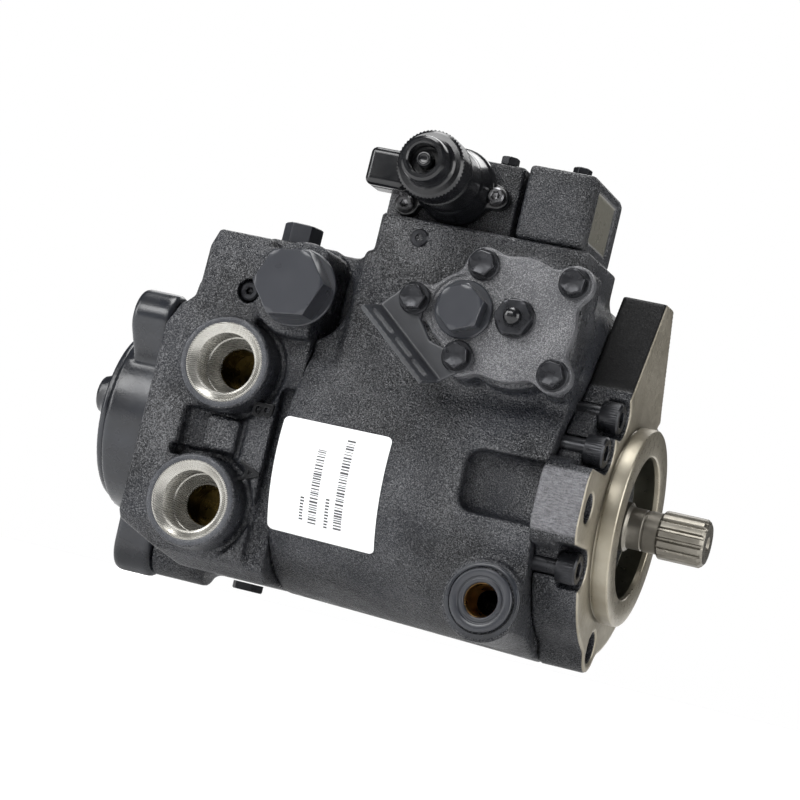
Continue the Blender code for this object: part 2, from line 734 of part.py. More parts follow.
def build_end_cover():
    """Port block with ports A and B, the relief boss and the rear bearing seat."""
    body = prism("end_cover", "Y", END_OUTLINE, END_FACE, END_BACK)
    keep(body, prism("section", "X", END_SECTION, END_REAR - LAP, END_FRONT + LAP))
    for y, z in CHARGE_EARS:
        discs = [(y, z, END_EAR_R), (y / 2, z / 2, END_EAR_R)]
        add(body, lobed("ear", "X", discs, END_REAR, END_REAR + END_EAR_REACH))
    for z in (PORT_A_Z, PORT_B_Z):
        add(body, rod("boss", "Y", (PORT_X, z), PORT_BOSS_R, PORT_FACE, -PORT_BOSS_R))
    add(body, rod("boss", "Y", (RELIEF_X, RELIEF_Z), RELIEF_BOSS_R, RELIEF_BOSS_FACE, RELIEF_BOSS_BACK))
    add(body, box("bridge", TOP_BRIDGE_X, TOP_BRIDGE_Y, (TOP_BRIDGE_FOOT, TOP_PLUG_SEAT)))
    for z in (PORT_A_Z, PORT_B_Z):
        floor = PORT_FACE + PORT_DEPTH
        thread_end = PORT_FACE + PORT_THREAD_DEPTH
        mouth_end = PORT_FACE + PORT_MOUTH_DEPTH
        bore = [(0, floor), (PORT_CORE_R, floor), (PORT_CORE_R, thread_end), (PORT_THREAD_R, thread_end),
                (PORT_THREAD_R, mouth_end), (PORT_MOUTH_R, mouth_end),
                (PORT_MOUTH_R + PORT_BREAK, PORT_FACE - LAP), (0, PORT_FACE - LAP)]
        cut(body, ream("bore", "Y", (PORT_X, z), bore, MID))
    cut(body, drill("relief", "Y", (RELIEF_X, RELIEF_Z), RELIEF_SHANK_R + GAP, RELIEF_BOSS_FACE - LAP,
                  RELIEF_BOSS_FACE + RELIEF_SHANK + LAP, MID))
    cut(body, drill("socket", "Y", (SOCKET_PLUG_X, SOCKET_PLUG_Z), SOCKET_PLUG_R + GAP, END_FACE - LAP,
                  END_FACE + SOCKET_PLUG_DEPTH + GAP, SMALL))
    cut(body, drill("top", "Z", (TOP_PLUG_X, TOP_PLUG_Y), TOP_PLUG_SHANK_R + GAP,
                  TOP_PLUG_SEAT - TOP_PLUG_SHANK - LAP, TOP_PLUG_SEAT + TOP_PLUG_HEX, SMALL))
    cut(body, drill("sump", "Z", (BOTTOM_PLUG_X, 0), BOTTOM_PLUG_SHANK_R + GAP, BOTTOM_PLUG_SEAT - LAP,
                    BOTTOM_PLUG_SEAT + BOTTOM_PLUG_SHANK + LAP, SMALL))
    cut(body, drill("passage", "X", (0, 0), SHAFT_PASSAGE_R, END_REAR - LAP, END_FRONT + LAP))
    for y, z in CHARGE_EARS:
        cut(body, drill("thread", "X", (y, z), CHARGE_SCREW_R + GAP, END_REAR - LAP,
                      END_REAR + CHARGE_SCREW_REACH, SMALL))
    paint(body, PAINT)
    return body


def build_charge_pump():
    """Charge pump housing, its rear cover and the screws in its ears."""
    outlines = [circle((0, 0), CHARGE_R, ROUND, TWIST)]
    for y, z in CHARGE_EARS:
        outlines.append(lobe_outline([(y, z, CHARGE_EAR_R), (0, 0, CHARGE_NECK_R)]))
    body = slab("charge_pump_housing", "X", outlines, CHARGE_EAR_REAR, CHARGE_FRONT)
    add(body, rod("disc", "X", (0, 0), CHARGE_DISC_R, CHARGE_REAR, CHARGE_EAR_REAR + CHARGE_SCREW_HEAD, ROUND))
    cut(body, drill("eye", "X", (0, 0), SHAFT_PASSAGE_R, CHARGE_REAR - LAP, CHARGE_FRONT + LAP, MID))
    cut(body, drill("pocket", "X", (ROTOR_OFFSET, 0), ROTOR_RING_R + FIT, CHARGE_REAR - LAP,
                  ROTOR_FRONT + FIT, ROUND))
    for y, z in CHARGE_EARS:
        cut(body, drill("hole", "X", (y, z), CHARGE_SCREW_R + GAP, CHARGE_REAR - LAP, CHARGE_FRONT + LAP,
                        SMALL))
        cut(body, drill("sink", "X", (y, z), CHARGE_SCREW_HEAD_R + GAP, CHARGE_EAR_REAR - LAP,
                        CHARGE_EAR_REAR + CHARGE_SCREW_HEAD, SMALL))
    paint(body, PAINT)
    rear = CHARGE_REAR - GAP - CHARGE_COVER_THICK
    bump = CHARGE_COVER_THICK / 3
    profile = [(0, CHARGE_REAR - GAP), (CHARGE_COVER_R, CHARGE_REAR - GAP),
               (CHARGE_COVER_R, rear + 2 * bump), (CHARGE_COVER_CROWN_R, rear), (0, rear)]
    cover = turn("charge_pump_cover", "X", (0, 0), profile)
    add(cover, rod("bump", "X", (-CHARGE_COVER_CROWN_R + CHARGE_BUMP_R, CHARGE_BUMP_Z), CHARGE_BUMP_R,
                   rear - CHARGE_BUMP, rear + LAP, SMALL))
    paint(cover, PAINT)
    for k, (y, z) in enumerate(CHARGE_EARS):
        head = CHARGE_EAR_REAR + CHARGE_SCREW_HEAD - GAP
        profile = [(0, head - CHARGE_SCREW_HEAD), (CHARGE_SCREW_HEAD_R, head - CHARGE_SCREW_HEAD),
                   (CHARGE_SCREW_HEAD_R, head), (CHARGE_SCREW_R, head),
                   (CHARGE_SCREW_R, END_REAR + CHARGE_SCREW_REACH - LAP),
                   (0, END_REAR + CHARGE_SCREW_REACH - LAP)]
        paint(turn("charge_pump_screw_%d" % (k + 1), "X", (y, z), profile, SMALL), BLACK_OXIDE)


def rotor_point(u):
    """Point of the inner charge rotor: the inside offset of the ring tooth's path."""
    w = ROTOR_TEETH * u
    du = (-ROTOR_PITCH_R * math.sin(u) - ROTOR_TEETH * ROTOR_OFFSET * math.sin(w),
          ROTOR_PITCH_R * math.cos(u) + ROTOR_TEETH * ROTOR_OFFSET * math.cos(w))
    share = (ROTOR_TOOTH_R + ROTOR_CLEARANCE) / math.hypot(*du)
    return (ROTOR_PITCH_R * math.cos(u) + ROTOR_OFFSET * math.cos(w) - share * du[1],
            ROTOR_PITCH_R * math.sin(u) + ROTOR_OFFSET * math.sin(w) + share * du[0])


def rotor_profile():
    """Inner charge rotor outline with its points spread evenly along the edge."""
    fine = [rotor_point(2 * math.pi * k / ROTOR_FINE) for k in range(ROTOR_FINE + 1)]
    reach = [0.0]
    for here, there in zip(fine, fine[1:]):
        reach.append(reach[-1] + math.hypot(there[0] - here[0], there[1] - here[1]))
    count = (ROTOR_TEETH - 1) * ROTOR_STEPS
    outline = []
    at = 0
    for k in range(count):
        while reach[at] < reach[-1] * k / count:
            at += 1
        outline.append(fine[at])
    return outline


def ring_profile():
    """Inside outline of the outer charge rotor about its own centre: round teeth joined by root arcs."""
    root = ROTOR_PITCH_R - ROTOR_TOOTH_R + 2 * ROTOR_OFFSET + ROTOR_SLACK
    squares = ROTOR_PITCH_R ** 2 + ROTOR_TOOTH_R ** 2 - root ** 2
    half_tooth = math.acos(squares / (2 * ROTOR_PITCH_R * ROTOR_TOOTH_R))
    edge = math.asin(ROTOR_TOOTH_R * math.sin(half_tooth) / root)
    pitch = 2 * math.pi / ROTOR_TEETH
    outline = []
    for k in range(ROTOR_TEETH):
        middle = pitch * k
        for n in range(RING_TOOTH_STEPS + 1):
            swing = middle + math.pi + half_tooth * (1 - 2 * n / RING_TOOTH_STEPS)
            x = ROTOR_PITCH_R * math.cos(middle) + ROTOR_TOOTH_R * math.cos(swing)
            y = ROTOR_PITCH_R * math.sin(middle) + ROTOR_TOOTH_R * math.sin(swing)
            outline.append((x, y))
        for n in range(1, RING_ROOT_STEPS):
            angle = middle + edge + (pitch - 2 * edge) * n / RING_ROOT_STEPS
            outline.append((root * math.cos(angle), root * math.sin(angle)))
    return outline


def build_rotors():
    """Inner and outer rotor of the charge pump."""
    outer = rod("gerotor_outer", "X", (ROTOR_OFFSET, 0), ROTOR_RING_R, ROTOR_REAR, ROTOR_FRONT, ROUND)
    hole = [(ROTOR_OFFSET + u, v) for u, v in ring_profile()]
    cut(outer, prism("hole", "X", hole, ROTOR_REAR - LAP, ROTOR_FRONT + LAP))
    paint(outer, STEEL)
    set_origin(outer, 0.0, ROTOR_OFFSET, 0.0)
    inner = prism("gerotor_inner", "X", rotor_profile(), ROTOR_REAR, ROTOR_FRONT)
    cut(inner, drill("eye", "X", (0, 0), SHAFT_TAIL_R + FIT, ROTOR_REAR - LAP, ROTOR_FRONT + LAP, SMALL))
    paint(inner, STEEL)


def build_shaft():
    """Drive shaft with its splined end, seal collar, bearing seats and tail."""
    collar_front = PILOT_BORE_FLOOR + GAP + SHAFT_COLLAR
    profile = [(0, SHAFT_REAR), (SHAFT_TAIL_R, SHAFT_REAR), (SHAFT_TAIL_R, CHARGE_FRONT),
               (SHAFT_BODY_R, CHARGE_FRONT),
               (SHAFT_BODY_R, BEARING_BACK - LAP), (BEARING_SEAT_R, BEARING_BACK - LAP),
               (BEARING_SEAT_R, BEARING_FRONT + GAP), (SEAL_SEAT_R, BEARING_FRONT + GAP),
               (SEAL_SEAT_R, PILOT_BORE_FLOOR + GAP), (SHAFT_COLLAR_R, PILOT_BORE_FLOOR + GAP),
               (SHAFT_COLLAR_R, collar_front), (SEAL_SEAT_R, collar_front), (SEAL_SEAT_R, NECK_BACK),
               (NECK_R, NECK_BACK + 2 * LAP), (NECK_R, SPLINE_START + LAP), (0, SPLINE_START + LAP)]
    body = turn("drive_shaft", "X", (0, 0), profile, MID)
    add(body, spline())
    hole_floor = SHAFT_END - SHAFT_CENTRE_HOLE_DEPTH
    hole = [(0, hole_floor), (SHAFT_CENTRE_HOLE_R, hole_floor), (SHAFT_CENTRE_HOLE_R, SHAFT_END - LAP),
            (SHAFT_CENTRE_HOLE_R + 2 * LAP, SHAFT_END + LAP), (0, SHAFT_END + LAP)]
    cut(body, ream("centre", "X", (0, 0), hole, SMALL))
    paint(body, STEEL)


def spline():
    """Toothed end with both edges turned down."""
    outline = []
    pitch = 2 * math.pi / SPLINE_TEETH
    for k in range(SPLINE_TEETH):
        for share, radius in SPLINE_TOOTH:
            angle = pitch * (k + share)
            outline.append((radius * math.cos(angle), radius * math.sin(angle)))
    teeth = prism("spline", "X", outline, SPLINE_START, SHAFT_END)
    blunt = [(0, SPLINE_START - LAP), (SPLINE_ROOT_R - LAP, SPLINE_START - LAP),
             (SPLINE_TIP_R + LAP, SPLINE_START + 1.5 * LAP), (SPLINE_TIP_R + LAP, SHAFT_END - 2 * LAP),
             (SPLINE_ROOT_R - LAP, SHAFT_END + LAP), (0, SHAFT_END + LAP)]
    return keep(teeth, turn("blunt", "X", (0, 0), blunt, MID))


def build_bearings():
    """Front bearing ring, the shaft seal and the two cradle shells."""
    paint(ring("front_bearing", "X", (0, 0), BEARING_SEAT_R + FIT, BEARING_R, BEARING_BACK,
               BEARING_FRONT - GAP, MID), STEEL)
    paint(ring("shaft_seal", "X", (0, 0), SEAL_BORE_R, SEAL_R - GAP, SEAL_BACK, PILOT_BORE_FLOOR - GAP,
               MID), RUBBER)
    for k, side in enumerate((-1, 1)):
        outline = []
        for radius, order in ((SHELL_OUTER_R, 1), (SHELL_INNER_R, -1)):
            for n in range(SHELL_STEPS + 1):
                share = n / SHELL_STEPS
                angle = math.radians(SHELL_HALF_ANGLE * (2 * share - 1)) * order
                outline.append((PIVOT_X + radius * math.cos(angle), radius * math.sin(angle)))
        z = sorted(side * value for value in SHELL_Z)
        shell = prism("cradle_bearing_%d" % (k + 1), "Z", outline, z[0], z[1])
        slot_y = (-ARM_SLOT_HALF, ARM_SLOT_HALF)
        if side > 0:
            shell = split_free(shell, slot_y)
        paint(shell, BRONZE)


def split_free(shell, slot_y):
    """Leave room in the upper shell for the swash plate's arm."""
    low = SHELL_Z[0] + (SHELL_Z[1] - SHELL_Z[0]) / 2
    return cut(shell, box("gap", (PIVOT_X, 0.0), slot_y, (low, SHELL_Z[1] + LAP)))


def build_swash():
    """Swash plate: a disc with a round back, a flat running face and the servo arm."""
    body = rod("swash_plate", "X", (0, 0), SWASH_DISC_R, SWASH_FACE, SWASH_FRONT, ROUND)
    keep(body, rod("back", "Z", (PIVOT_X, 0), SWASH_R, -BARREL_R, BARREL_R, ROUND))
    arm = rod("arm", "Z", (SERVO_X, 0), ARM_R, ARM_FOOT_Z, ARM_SHOULDER_Z, SMALL)
    add(arm, rod("pin", "Z", (SERVO_X, 0), SERVO_PIN_R, ARM_SHOULDER_Z - LAP, SERVO_PIN_TOP, SMALL))
    add(body, arm)
    eye = [(0, SWASH_FACE - LAP), (SWASH_EYE_R, SWASH_FACE - LAP), (SWASH_EYE_R, SWASH_FRONT + LAP),
           (0, SWASH_FRONT + LAP)]
    cut(body, ream("eye", "X", (0, 0), eye, MID))
    paint(body, STEEL)
    set_origin(body, PIVOT_X, 0.0, 0.0)


def build_block():
    """Cylinder block with nine bores and a kidney opening behind each."""
    body = rod("cylinder_block", "X", (0, 0), BLOCK_R, BLOCK_REAR, BLOCK_FRONT, ROUND)
    for y, z in piston_places():
        cut(body, drill("bore", "X", (y, z), PISTON_BORE_R, BORE_FLOOR, BLOCK_FRONT + LAP, SMALL))
        spread = KIDNEY_HALF_LENGTH - KIDNEY_HALF_WIDTH
        size = math.hypot(y, z)
        step = (-z / size * spread, y / size * spread)
        discs = [(y + step[0], z + step[1], KIDNEY_HALF_WIDTH),
                 (y - step[0], z - step[1], KIDNEY_HALF_WIDTH)]
        cut(body, lobed("kidney", "X", discs, BLOCK_REAR - LAP, BORE_FLOOR + LAP, SMALL))
    eye = [(0, BLOCK_REAR - LAP), (BLOCK_EYE_R, BLOCK_REAR - LAP),
           (BLOCK_EYE_R, BLOCK_FRONT - BLOCK_SPRING_WELL),
           (BLOCK_SPRING_WELL_R, BLOCK_FRONT - BLOCK_SPRING_WELL),
           (BLOCK_SPRING_WELL_R, BLOCK_FRONT + LAP), (0, BLOCK_FRONT + LAP)]
    cut(body, ream("eye", "X", (0, 0), eye, MID))
    paint(body, STEEL)


def build_pistons():
    """Nine pistons, each with its slipper crimped on the ball."""
    for k, (y, z) in enumerate(piston_places()):
        cup = SLIPPER_FRONT - SLIPPER_THICK
        profile = [(0, PISTON_REAR), (PISTON_R - LAP, PISTON_REAR), (PISTON_R, PISTON_REAR + LAP),
                   (PISTON_R, PISTON_SHOULDER - 2 * LAP), (PISTON_NECK_R, PISTON_SHOULDER),
                   (PISTON_NECK_R, PISTON_SHOULDER + LAP), (BALL_R, PIVOT_X - 2 * LAP),
                   (SLIPPER_CUP_R, PIVOT_X - LAP), (SLIPPER_CUP_R, cup), (SLIPPER_R, cup),
                   (SLIPPER_R, SLIPPER_FRONT), (0, SLIPPER_FRONT)]
        piston = turn("piston_%d" % (k + 1), "X", (y, z), profile, SMALL)
        paint(piston, STEEL)
        set_origin(piston, PIVOT_X, y, z)


def build_plates():
    """Valve plate, slipper retainer and block spring."""
    plate = rod("valve_plate", "X", (0, 0), PLATE_R, PLATE_REAR, PLATE_FRONT, ROUND)
    cut(plate, drill("eye", "X", (0, 0), PLATE_EYE_R, PLATE_REAR - LAP, PLATE_FRONT + LAP, MID))
    for side in (0, 180):
        outline = []
        for order in (1, -1):
            radius = PISTON_CIRCLE_R + order * KIDNEY_HALF_WIDTH
            for n in range(PLATE_SLOT_STEPS + 1):
                share = 2 * n / PLATE_SLOT_STEPS - 1
                angle = math.radians(side + order * share * PLATE_SLOT_SPAN)
                outline.append((radius * math.cos(angle), radius * math.sin(angle)))
        cut(plate, prism("slot", "X", outline, PLATE_REAR - LAP, PLATE_FRONT + LAP))
    paint(plate, BRONZE)
    back = RETAINER_FRONT - RETAINER_THICK
    retainer = ring("retainer_plate", "X", (0, 0), RETAINER_EYE_R, RETAINER_R, back, RETAINER_FRONT)
    for y, z in piston_places():
        cut(retainer, drill("hole", "X", (y, z), RETAINER_HOLE_R, back - LAP, RETAINER_FRONT + LAP,
                            SMALL))
    paint(retainer, STEEL)
    set_origin(retainer, PIVOT_X, 0.0, 0.0)
    build_spring()


def build_spring():
    """Coil spring in the block's well that presses the block on the valve plate."""
    low = BLOCK_FRONT - BLOCK_SPRING_WELL + SPRING_WIRE_R + GAP
    high = BLOCK_FRONT - SPRING_WIRE_R
    steps = SPRING_TURNS * SPRING_STEPS
    points = []
    for k in range(steps + 1):
        angle = 2 * math.pi * k / SPRING_STEPS
        station = low + (high - low) * k / steps
        for n in range(SPRING_SIDES):
            swing = 2 * math.pi * n / SPRING_SIDES
            radius = SPRING_R + SPRING_WIRE_R * math.cos(swing)
            along = station + SPRING_WIRE_R * math.sin(swing)
            points.append(place("X", radius * math.cos(angle), radius * math.sin(angle), along))
    faces = [tuple(range(SPRING_SIDES)), tuple(range(steps * SPRING_SIDES, (steps + 1) * SPRING_SIDES))]
    for k in range(steps):
        for n in range(SPRING_SIDES):
            m = (n + 1) % SPRING_SIDES
            a = k * SPRING_SIDES
            b = a + SPRING_SIDES
            faces.append((a + n, a + m, b + m, b + n))
    paint(solid("block_spring", points, faces), SPRING_STEEL)


def build_servo_piston():
    """Double-headed servo piston with a slot for the swash arm's pin."""
    half = SERVO_PISTON_HALF
    profile = [(0, -half), (SERVO_PISTON_R, -half), (SERVO_PISTON_R, -half + SERVO_HEAD),
               (SERVO_WAIST_R, -half + SERVO_HEAD), (SERVO_WAIST_R, half - SERVO_HEAD),
               (SERVO_PISTON_R, half - SERVO_HEAD), (SERVO_PISTON_R, half), (0, half)]
    body = turn("servo_piston", "Y", (SERVO_X, SERVO_Z), profile, MID)
    width = SERVO_PIN_R + SERVO_PIN_PLAY
    length = SERVO_PIN_R + SERVO_PIN_SLOT_LENGTH
    slot = box("slot", (SERVO_X - length, SERVO_X + length), (-width, width), (0.0, SERVO_PIN_SLOT_ROOF))
    cut(body, slot)
    paint(body, STEEL)
    set_origin(body, SERVO_X, 0.0, SERVO_Z)


def cover_plate(name, low, high):
    """Lobed plate that closes the servo bore."""
    outlines = [circle((SERVO_X, SERVO_Z), SERVO_COVER_LOBE_R, ROUND, TWIST),
                circle((PLUG_LOBE_X, PLUG_LOBE_Z), PLUG_LOBE_R, MID, TWIST)]
    for x, z in COVER_BOLTS:
        discs = [(x, z, BOLT_LOBE_R - GAP), (SERVO_X, SERVO_Z, BOLT_LOBE_R)]
        outlines.append(lobe_outline(discs, SMALL))
    return slab(name, "Y", outlines, low, high)


def build_servo_cover():
    """Servo cover, its bolts, plug, displacement limiter and the harness bracket."""
    high = SERVO_FACE - GAP
    low = high - SERVO_COVER_THICK
    cover = cover_plate("servo_cover", low, high)
    for x, z in COVER_BOLTS:
        cut(cover, drill("hole", "Y", (x, z), COVER_BOLT_R + GAP, low - LAP, high + LAP, SMALL))
    cut(cover, drill("hole", "Y", (PLUG_LOBE_X, PLUG_LOBE_Z), SERVO_PLUG_SHANK_R + GAP, low - LAP,
                   high + LAP, SMALL))
    cut(cover, drill("hole", "Y", (LIMITER_X, LIMITER_Z), LIMITER_STUD_R + GAP, low - LAP, high + LAP,
                     SMALL))
    paint(cover, SATIN)
    build_bracket(low - GAP)
    seats = [low - 2 * GAP - BRACKET_THICK if k in (0, 4) else low - GAP for k in range(len(COVER_BOLTS))]
    for k, (x, z) in enumerate(COVER_BOLTS):
        top = seats[k] - COVER_BOLT_HEAD
        head = prism("servo_cover_bolt_%d" % (k + 1), "Y", circle((x, z), COVER_BOLT_HEAD_R, HEX),
                     top, seats[k])
        shank = rod("shank", "Y", (x, z), COVER_BOLT_R, seats[k] - LAP, SERVO_FACE + COVER_BOLT_REACH, SMALL)
        paint(add(head, shank), BLACK_OXIDE)
    seat = low - GAP
    collar = seat - SERVO_PLUG_COLLAR
    plug = rod("servo_cover_plug", "Y", (PLUG_LOBE_X, PLUG_LOBE_Z), SERVO_PLUG_COLLAR_R, collar, seat)
    add(plug, prism("hex", "Y", circle((PLUG_LOBE_X, PLUG_LOBE_Z), SERVO_PLUG_HEX_R, HEX),
                    collar - SERVO_PLUG_HEX, collar + LAP))
    add(plug, rod("shank", "Y", (PLUG_LOBE_X, PLUG_LOBE_Z), SERVO_PLUG_SHANK_R, seat - LAP,
                  SERVO_FACE + SERVO_PLUG_SHANK - LAP, SMALL))
    paint(plug, SATIN)
    nut = prism("limiter_nut", "Y", circle((LIMITER_X, LIMITER_Z), LIMITER_HEX_R, HEX),
                seat - LIMITER_HEX, seat)
    cut(nut, drill("hole", "Y", (LIMITER_X, LIMITER_Z), LIMITER_STUD_R + GAP, seat - LIMITER_HEX - LAP,
                 seat + LAP, SMALL))
    paint(nut, BLACK_OXIDE)
    tip = seat - LIMITER_HEX - LIMITER_STUD_PROUD
    stud = [(0, tip), (LIMITER_STUD_R - LAP, tip), (LIMITER_STUD_R, tip + LAP),
            (LIMITER_STUD_R, tip + LIMITER_STUD_REACH), (0, tip + LIMITER_STUD_REACH)]
    paint(turn("limiter_screw", "Y", (LIMITER_X, LIMITER_Z), stud, SMALL), BLACK_OXIDE)


def build_bracket(seat):
    """Folded sheet bracket held by two of the servo cover's bolts."""
    body = prism("harness_bracket", "Y", list(BRACKET_OUTLINE), seat - BRACKET_THICK, seat)
    (ax, az), (bx, bz) = BRACKET_OUTLINE[0], BRACKET_OUTLINE[1]
    size = math.hypot(bx - ax, bz - az)
    out = ((bz - az) / size, -(bx - ax) / size)
    front = seat - BRACKET_WING
    inner = [(ax, az), (bx, bz)]
    points = []
    for h, spread in ((seat, 0.0), (front, BRACKET_WING_SPREAD)):
        for u, v in inner:
            for depth in (0.0, -BRACKET_THICK):
                shift = spread + depth
                points.append(place("Y", u + out[0] * shift, v + out[1] * shift, h))
    faces = [(0, 1, 3, 2), (4, 6, 7, 5), (0, 2, 6, 4), (1, 5, 7, 3), (0, 4, 5, 1), (2, 3, 7, 6)]
    add(body, solid("wing", points, faces))
    for k in (0, 4):
        x, z = COVER_BOLTS[k]
        cut(body, drill("hole", "Y", (x, z), COVER_BOLT_R + GAP, seat - BRACKET_THICK - LAP, seat + LAP,
                        SMALL))
    paint(body, SATIN)


def build_control():
    """Control housing, its screws, spool, solenoid, knurled nut, button and connector."""
    body = box("control_housing", CONTROL_LEFT_X, (CONTROL_FACE, CONTROL_BACK), CONTROL_Z)
    groove_x = (CONTROL_LEFT_X[1] - LAP, CONTROL_RIGHT_X[0] + LAP)
    add(body, box("groove", groove_x, (CONTROL_GROOVE, CONTROL_BACK), CONTROL_Z))
    cast = box("cast", CONTROL_RIGHT_X, (CONTROL_CAST_FACE, CONTROL_BACK), CONTROL_Z)
    add(body, cast)
    add_round_cut(body)
    plate_x = (CONTROL_RIGHT_X[1] - CONTROL_PLATE_DEPTH, CONTROL_RIGHT_X[1] + LAP)
    cut(body, box("plate", plate_x, CONTROL_PLATE_Y, CONTROL_PLATE_Z))
    cut(body, drill("bore", "Y", (SOLENOID_X, SOLENOID_Z), SPOOL_BORE_R, CONTROL_FACE - LAP,
                    SPOOL_BORE_BACK))
    for x, y in CONTROL_SCREWS:
        cut(body, drill("hole", "Z", (x, y), CONTROL_SCREW_R + GAP, CONTROL_Z[0] - LAP,
                        CONTROL_Z[1] + LAP, SMALL))
    paint(body, SATIN)
    for k, (x, y) in enumerate(CONTROL_SCREWS):
        seat = CONTROL_Z[1] + GAP
        screw = prism("control_screw_%d" % (k + 1), "Z", circle((x, y), CONTROL_SCREW_HEAD_R, HEX), seat,
                      seat + CONTROL_SCREW_HEAD)
        reach = PAD_TOP - CONTROL_SCREW_REACH / 2
        add(screw, rod("shank", "Z", (x, y), CONTROL_SCREW_R, reach, seat + LAP, SMALL))
        paint(screw, BLACK_OXIDE)
    build_solenoid()


def add_round_cut(body):
    """Round the top rear corner of the cast part."""
    y = CONTROL_BACK - CONTROL_ROUND
    z = CONTROL_Z[1] - CONTROL_ROUND
    outline = [(y, CONTROL_Z[1] + LAP), (CONTROL_BACK + LAP, CONTROL_Z[1] + LAP), (CONTROL_BACK + LAP, z)]
    for k in range(CORNER_STEPS + 1):
        angle = math.pi / 2 * k / CORNER_STEPS
        outline.append((y + CONTROL_ROUND * math.cos(angle), z + CONTROL_ROUND * math.sin(angle)))
    cut(body, prism("corner", "X", outline, CONTROL_LEFT_X[0] - LAP, CONTROL_RIGHT_X[1] + LAP))


def build_solenoid():
    """Solenoid with its flange, knurled nut, override button, spool and connector."""
    centre = (SOLENOID_X, SOLENOID_Z)
    seat = CONTROL_FACE - GAP
    flange = seat - SOLENOID_FLANGE
    discs = [(SOLENOID_X, SOLENOID_Z, SOLENOID_BODY_R)]
    discs += [(x, z, SOLENOID_EAR_R) for x, z in SOLENOID_SCREWS]
    body = lobed("solenoid_body", "Y", discs, flange, seat)
    skirt = SOLENOID_SKIRT_R - LAP
    profile = [(0, seat - LAP), (skirt, seat - LAP), (skirt, flange - 2 * LAP),
               (SOLENOID_BODY_R, flange - SOLENOID_TAPER), (SOLENOID_BODY_R, SOLENOID_FRONT + LAP),
               (SOLENOID_BODY_R - LAP, SOLENOID_FRONT), (SOLENOID_STEM_R, SOLENOID_FRONT),
               (SOLENOID_STEM_R, SOLENOID_STEM_FRONT), (0, SOLENOID_STEM_FRONT)]
    add(body, turn("coil", "Y", centre, profile, MID))
    bore = [(0, SOLENOID_STEM_FRONT - LAP), (BUTTON_BORE_R, SOLENOID_STEM_FRONT - LAP),
            (BUTTON_BORE_R, SPOOL_BORE_FRONT), (SPOOL_BORE_R, SPOOL_BORE_FRONT), (SPOOL_BORE_R, seat + LAP),
            (0, seat + LAP)]
    cut(body, ream("bore", "Y", centre, bore, MID))
    paint(body, POLYMER)
    build_nut(centre)
    button = [(0, BUTTON_FRONT), (BUTTON_R - BREAK, BUTTON_FRONT), (BUTTON_R, BUTTON_FRONT + BREAK),
              (BUTTON_R, BUTTON_FRONT + BUTTON_HEAD), (BUTTON_STEM_R, BUTTON_FRONT + BUTTON_HEAD),
              (BUTTON_STEM_R, BUTTON_BACK), (0, BUTTON_BACK)]
    knob = turn("override_button", "Y", centre, button, SMALL)
    paint(knob, POLYMER)
    set_origin(knob, SOLENOID_X, BUTTON_FRONT, SOLENOID_Z)
    low, high = SPOOL_Y
    land = (high - low) / SPOOL_LANDS
    spool = [(0, low), (SPOOL_R, low), (SPOOL_R, low + land), (SPOOL_WAIST_R, low + land),
             (SPOOL_WAIST_R, low + 2 * land), (SPOOL_R, low + 2 * land), (SPOOL_R, low + 3 * land),
             (SPOOL_WAIST_R, low + 3 * land), (SPOOL_WAIST_R, low + 4 * land), (SPOOL_R, low + 4 * land),
             (SPOOL_R, high), (0, high)]
    valve = turn("control_spool", "Y", centre, spool, SMALL)
    paint(valve, STEEL)
    set_origin(valve, SOLENOID_X, low, SOLENOID_Z)
    outline = soft_box(CONNECTOR_X, CONNECTOR_Z, CONNECTOR_ROUND)
    plug = prism("solenoid_connector", "Y", outline, CONNECTOR_Y[0], CONNECTOR_Y[1])
    cut(plug, drill("clear", "Y", centre, SOLENOID_SKIRT_R, CONNECTOR_Y[0] - LAP, CONNECTOR_Y[1] + LAP,
                    ROUND))
    paint(plug, POLYMER)


def build_nut(centre):
    """Knurled nut with a domed cap and a well for the button."""
    shade = 2 * LAP
    profile = [(NUT_BORE_R, NUT_BACK), (NUT_R, NUT_BACK), (NUT_R, NUT_FRONT + shade),
               (NUT_R - shade, NUT_FRONT), (NUT_DOME_R + 2 * shade, NUT_FRONT),
               (NUT_DOME_R, NUT_FRONT - 2 * shade), (NUT_DOME_R, NUT_DOME_FRONT + LAP),
               (NUT_DOME_R - LAP, NUT_DOME_FRONT), (NUT_WELL_R, NUT_DOME_FRONT),
               (NUT_WELL_R, NUT_WELL_FLOOR), (BUTTON_HEAD_BORE_R + GAP, NUT_WELL_FLOOR),
               (BUTTON_HEAD_BORE_R + GAP, SOLENOID_STEM_FRONT - LAP - GAP),
               (NUT_BORE_R, SOLENOID_STEM_FRONT - LAP - GAP)]
    nut = turn("solenoid_nut", "Y", centre, profile, ROUND)
    paint(nut, POLYMER)


def hex_plug(name, axis, centre, seat, side, hex_r, hex_length, shank_r, shank, look, flange=None):
    """Hexagon-headed plug standing on a seat; side is the direction the head faces."""
    start = seat
    body = None
    if flange:
        flange_r, thick = flange
        low, high = sorted((seat, seat + side * thick))
        body = rod(name, axis, centre, flange_r, low, high)
        start = seat + side * (thick - LAP)
    low, high = sorted((start, start + side * (hex_length + (LAP if flange else 0))))
    head = prism("hex" if body else name, axis, circle(centre, hex_r, HEX, math.pi / 6), low, high)
    body = add(body, head) if body else head
    low, high = sorted((seat + side * LAP, seat - side * shank))
    add(body, rod("shank", axis, centre, shank_r, low, high, SMALL))
    paint(body, look)
    return body


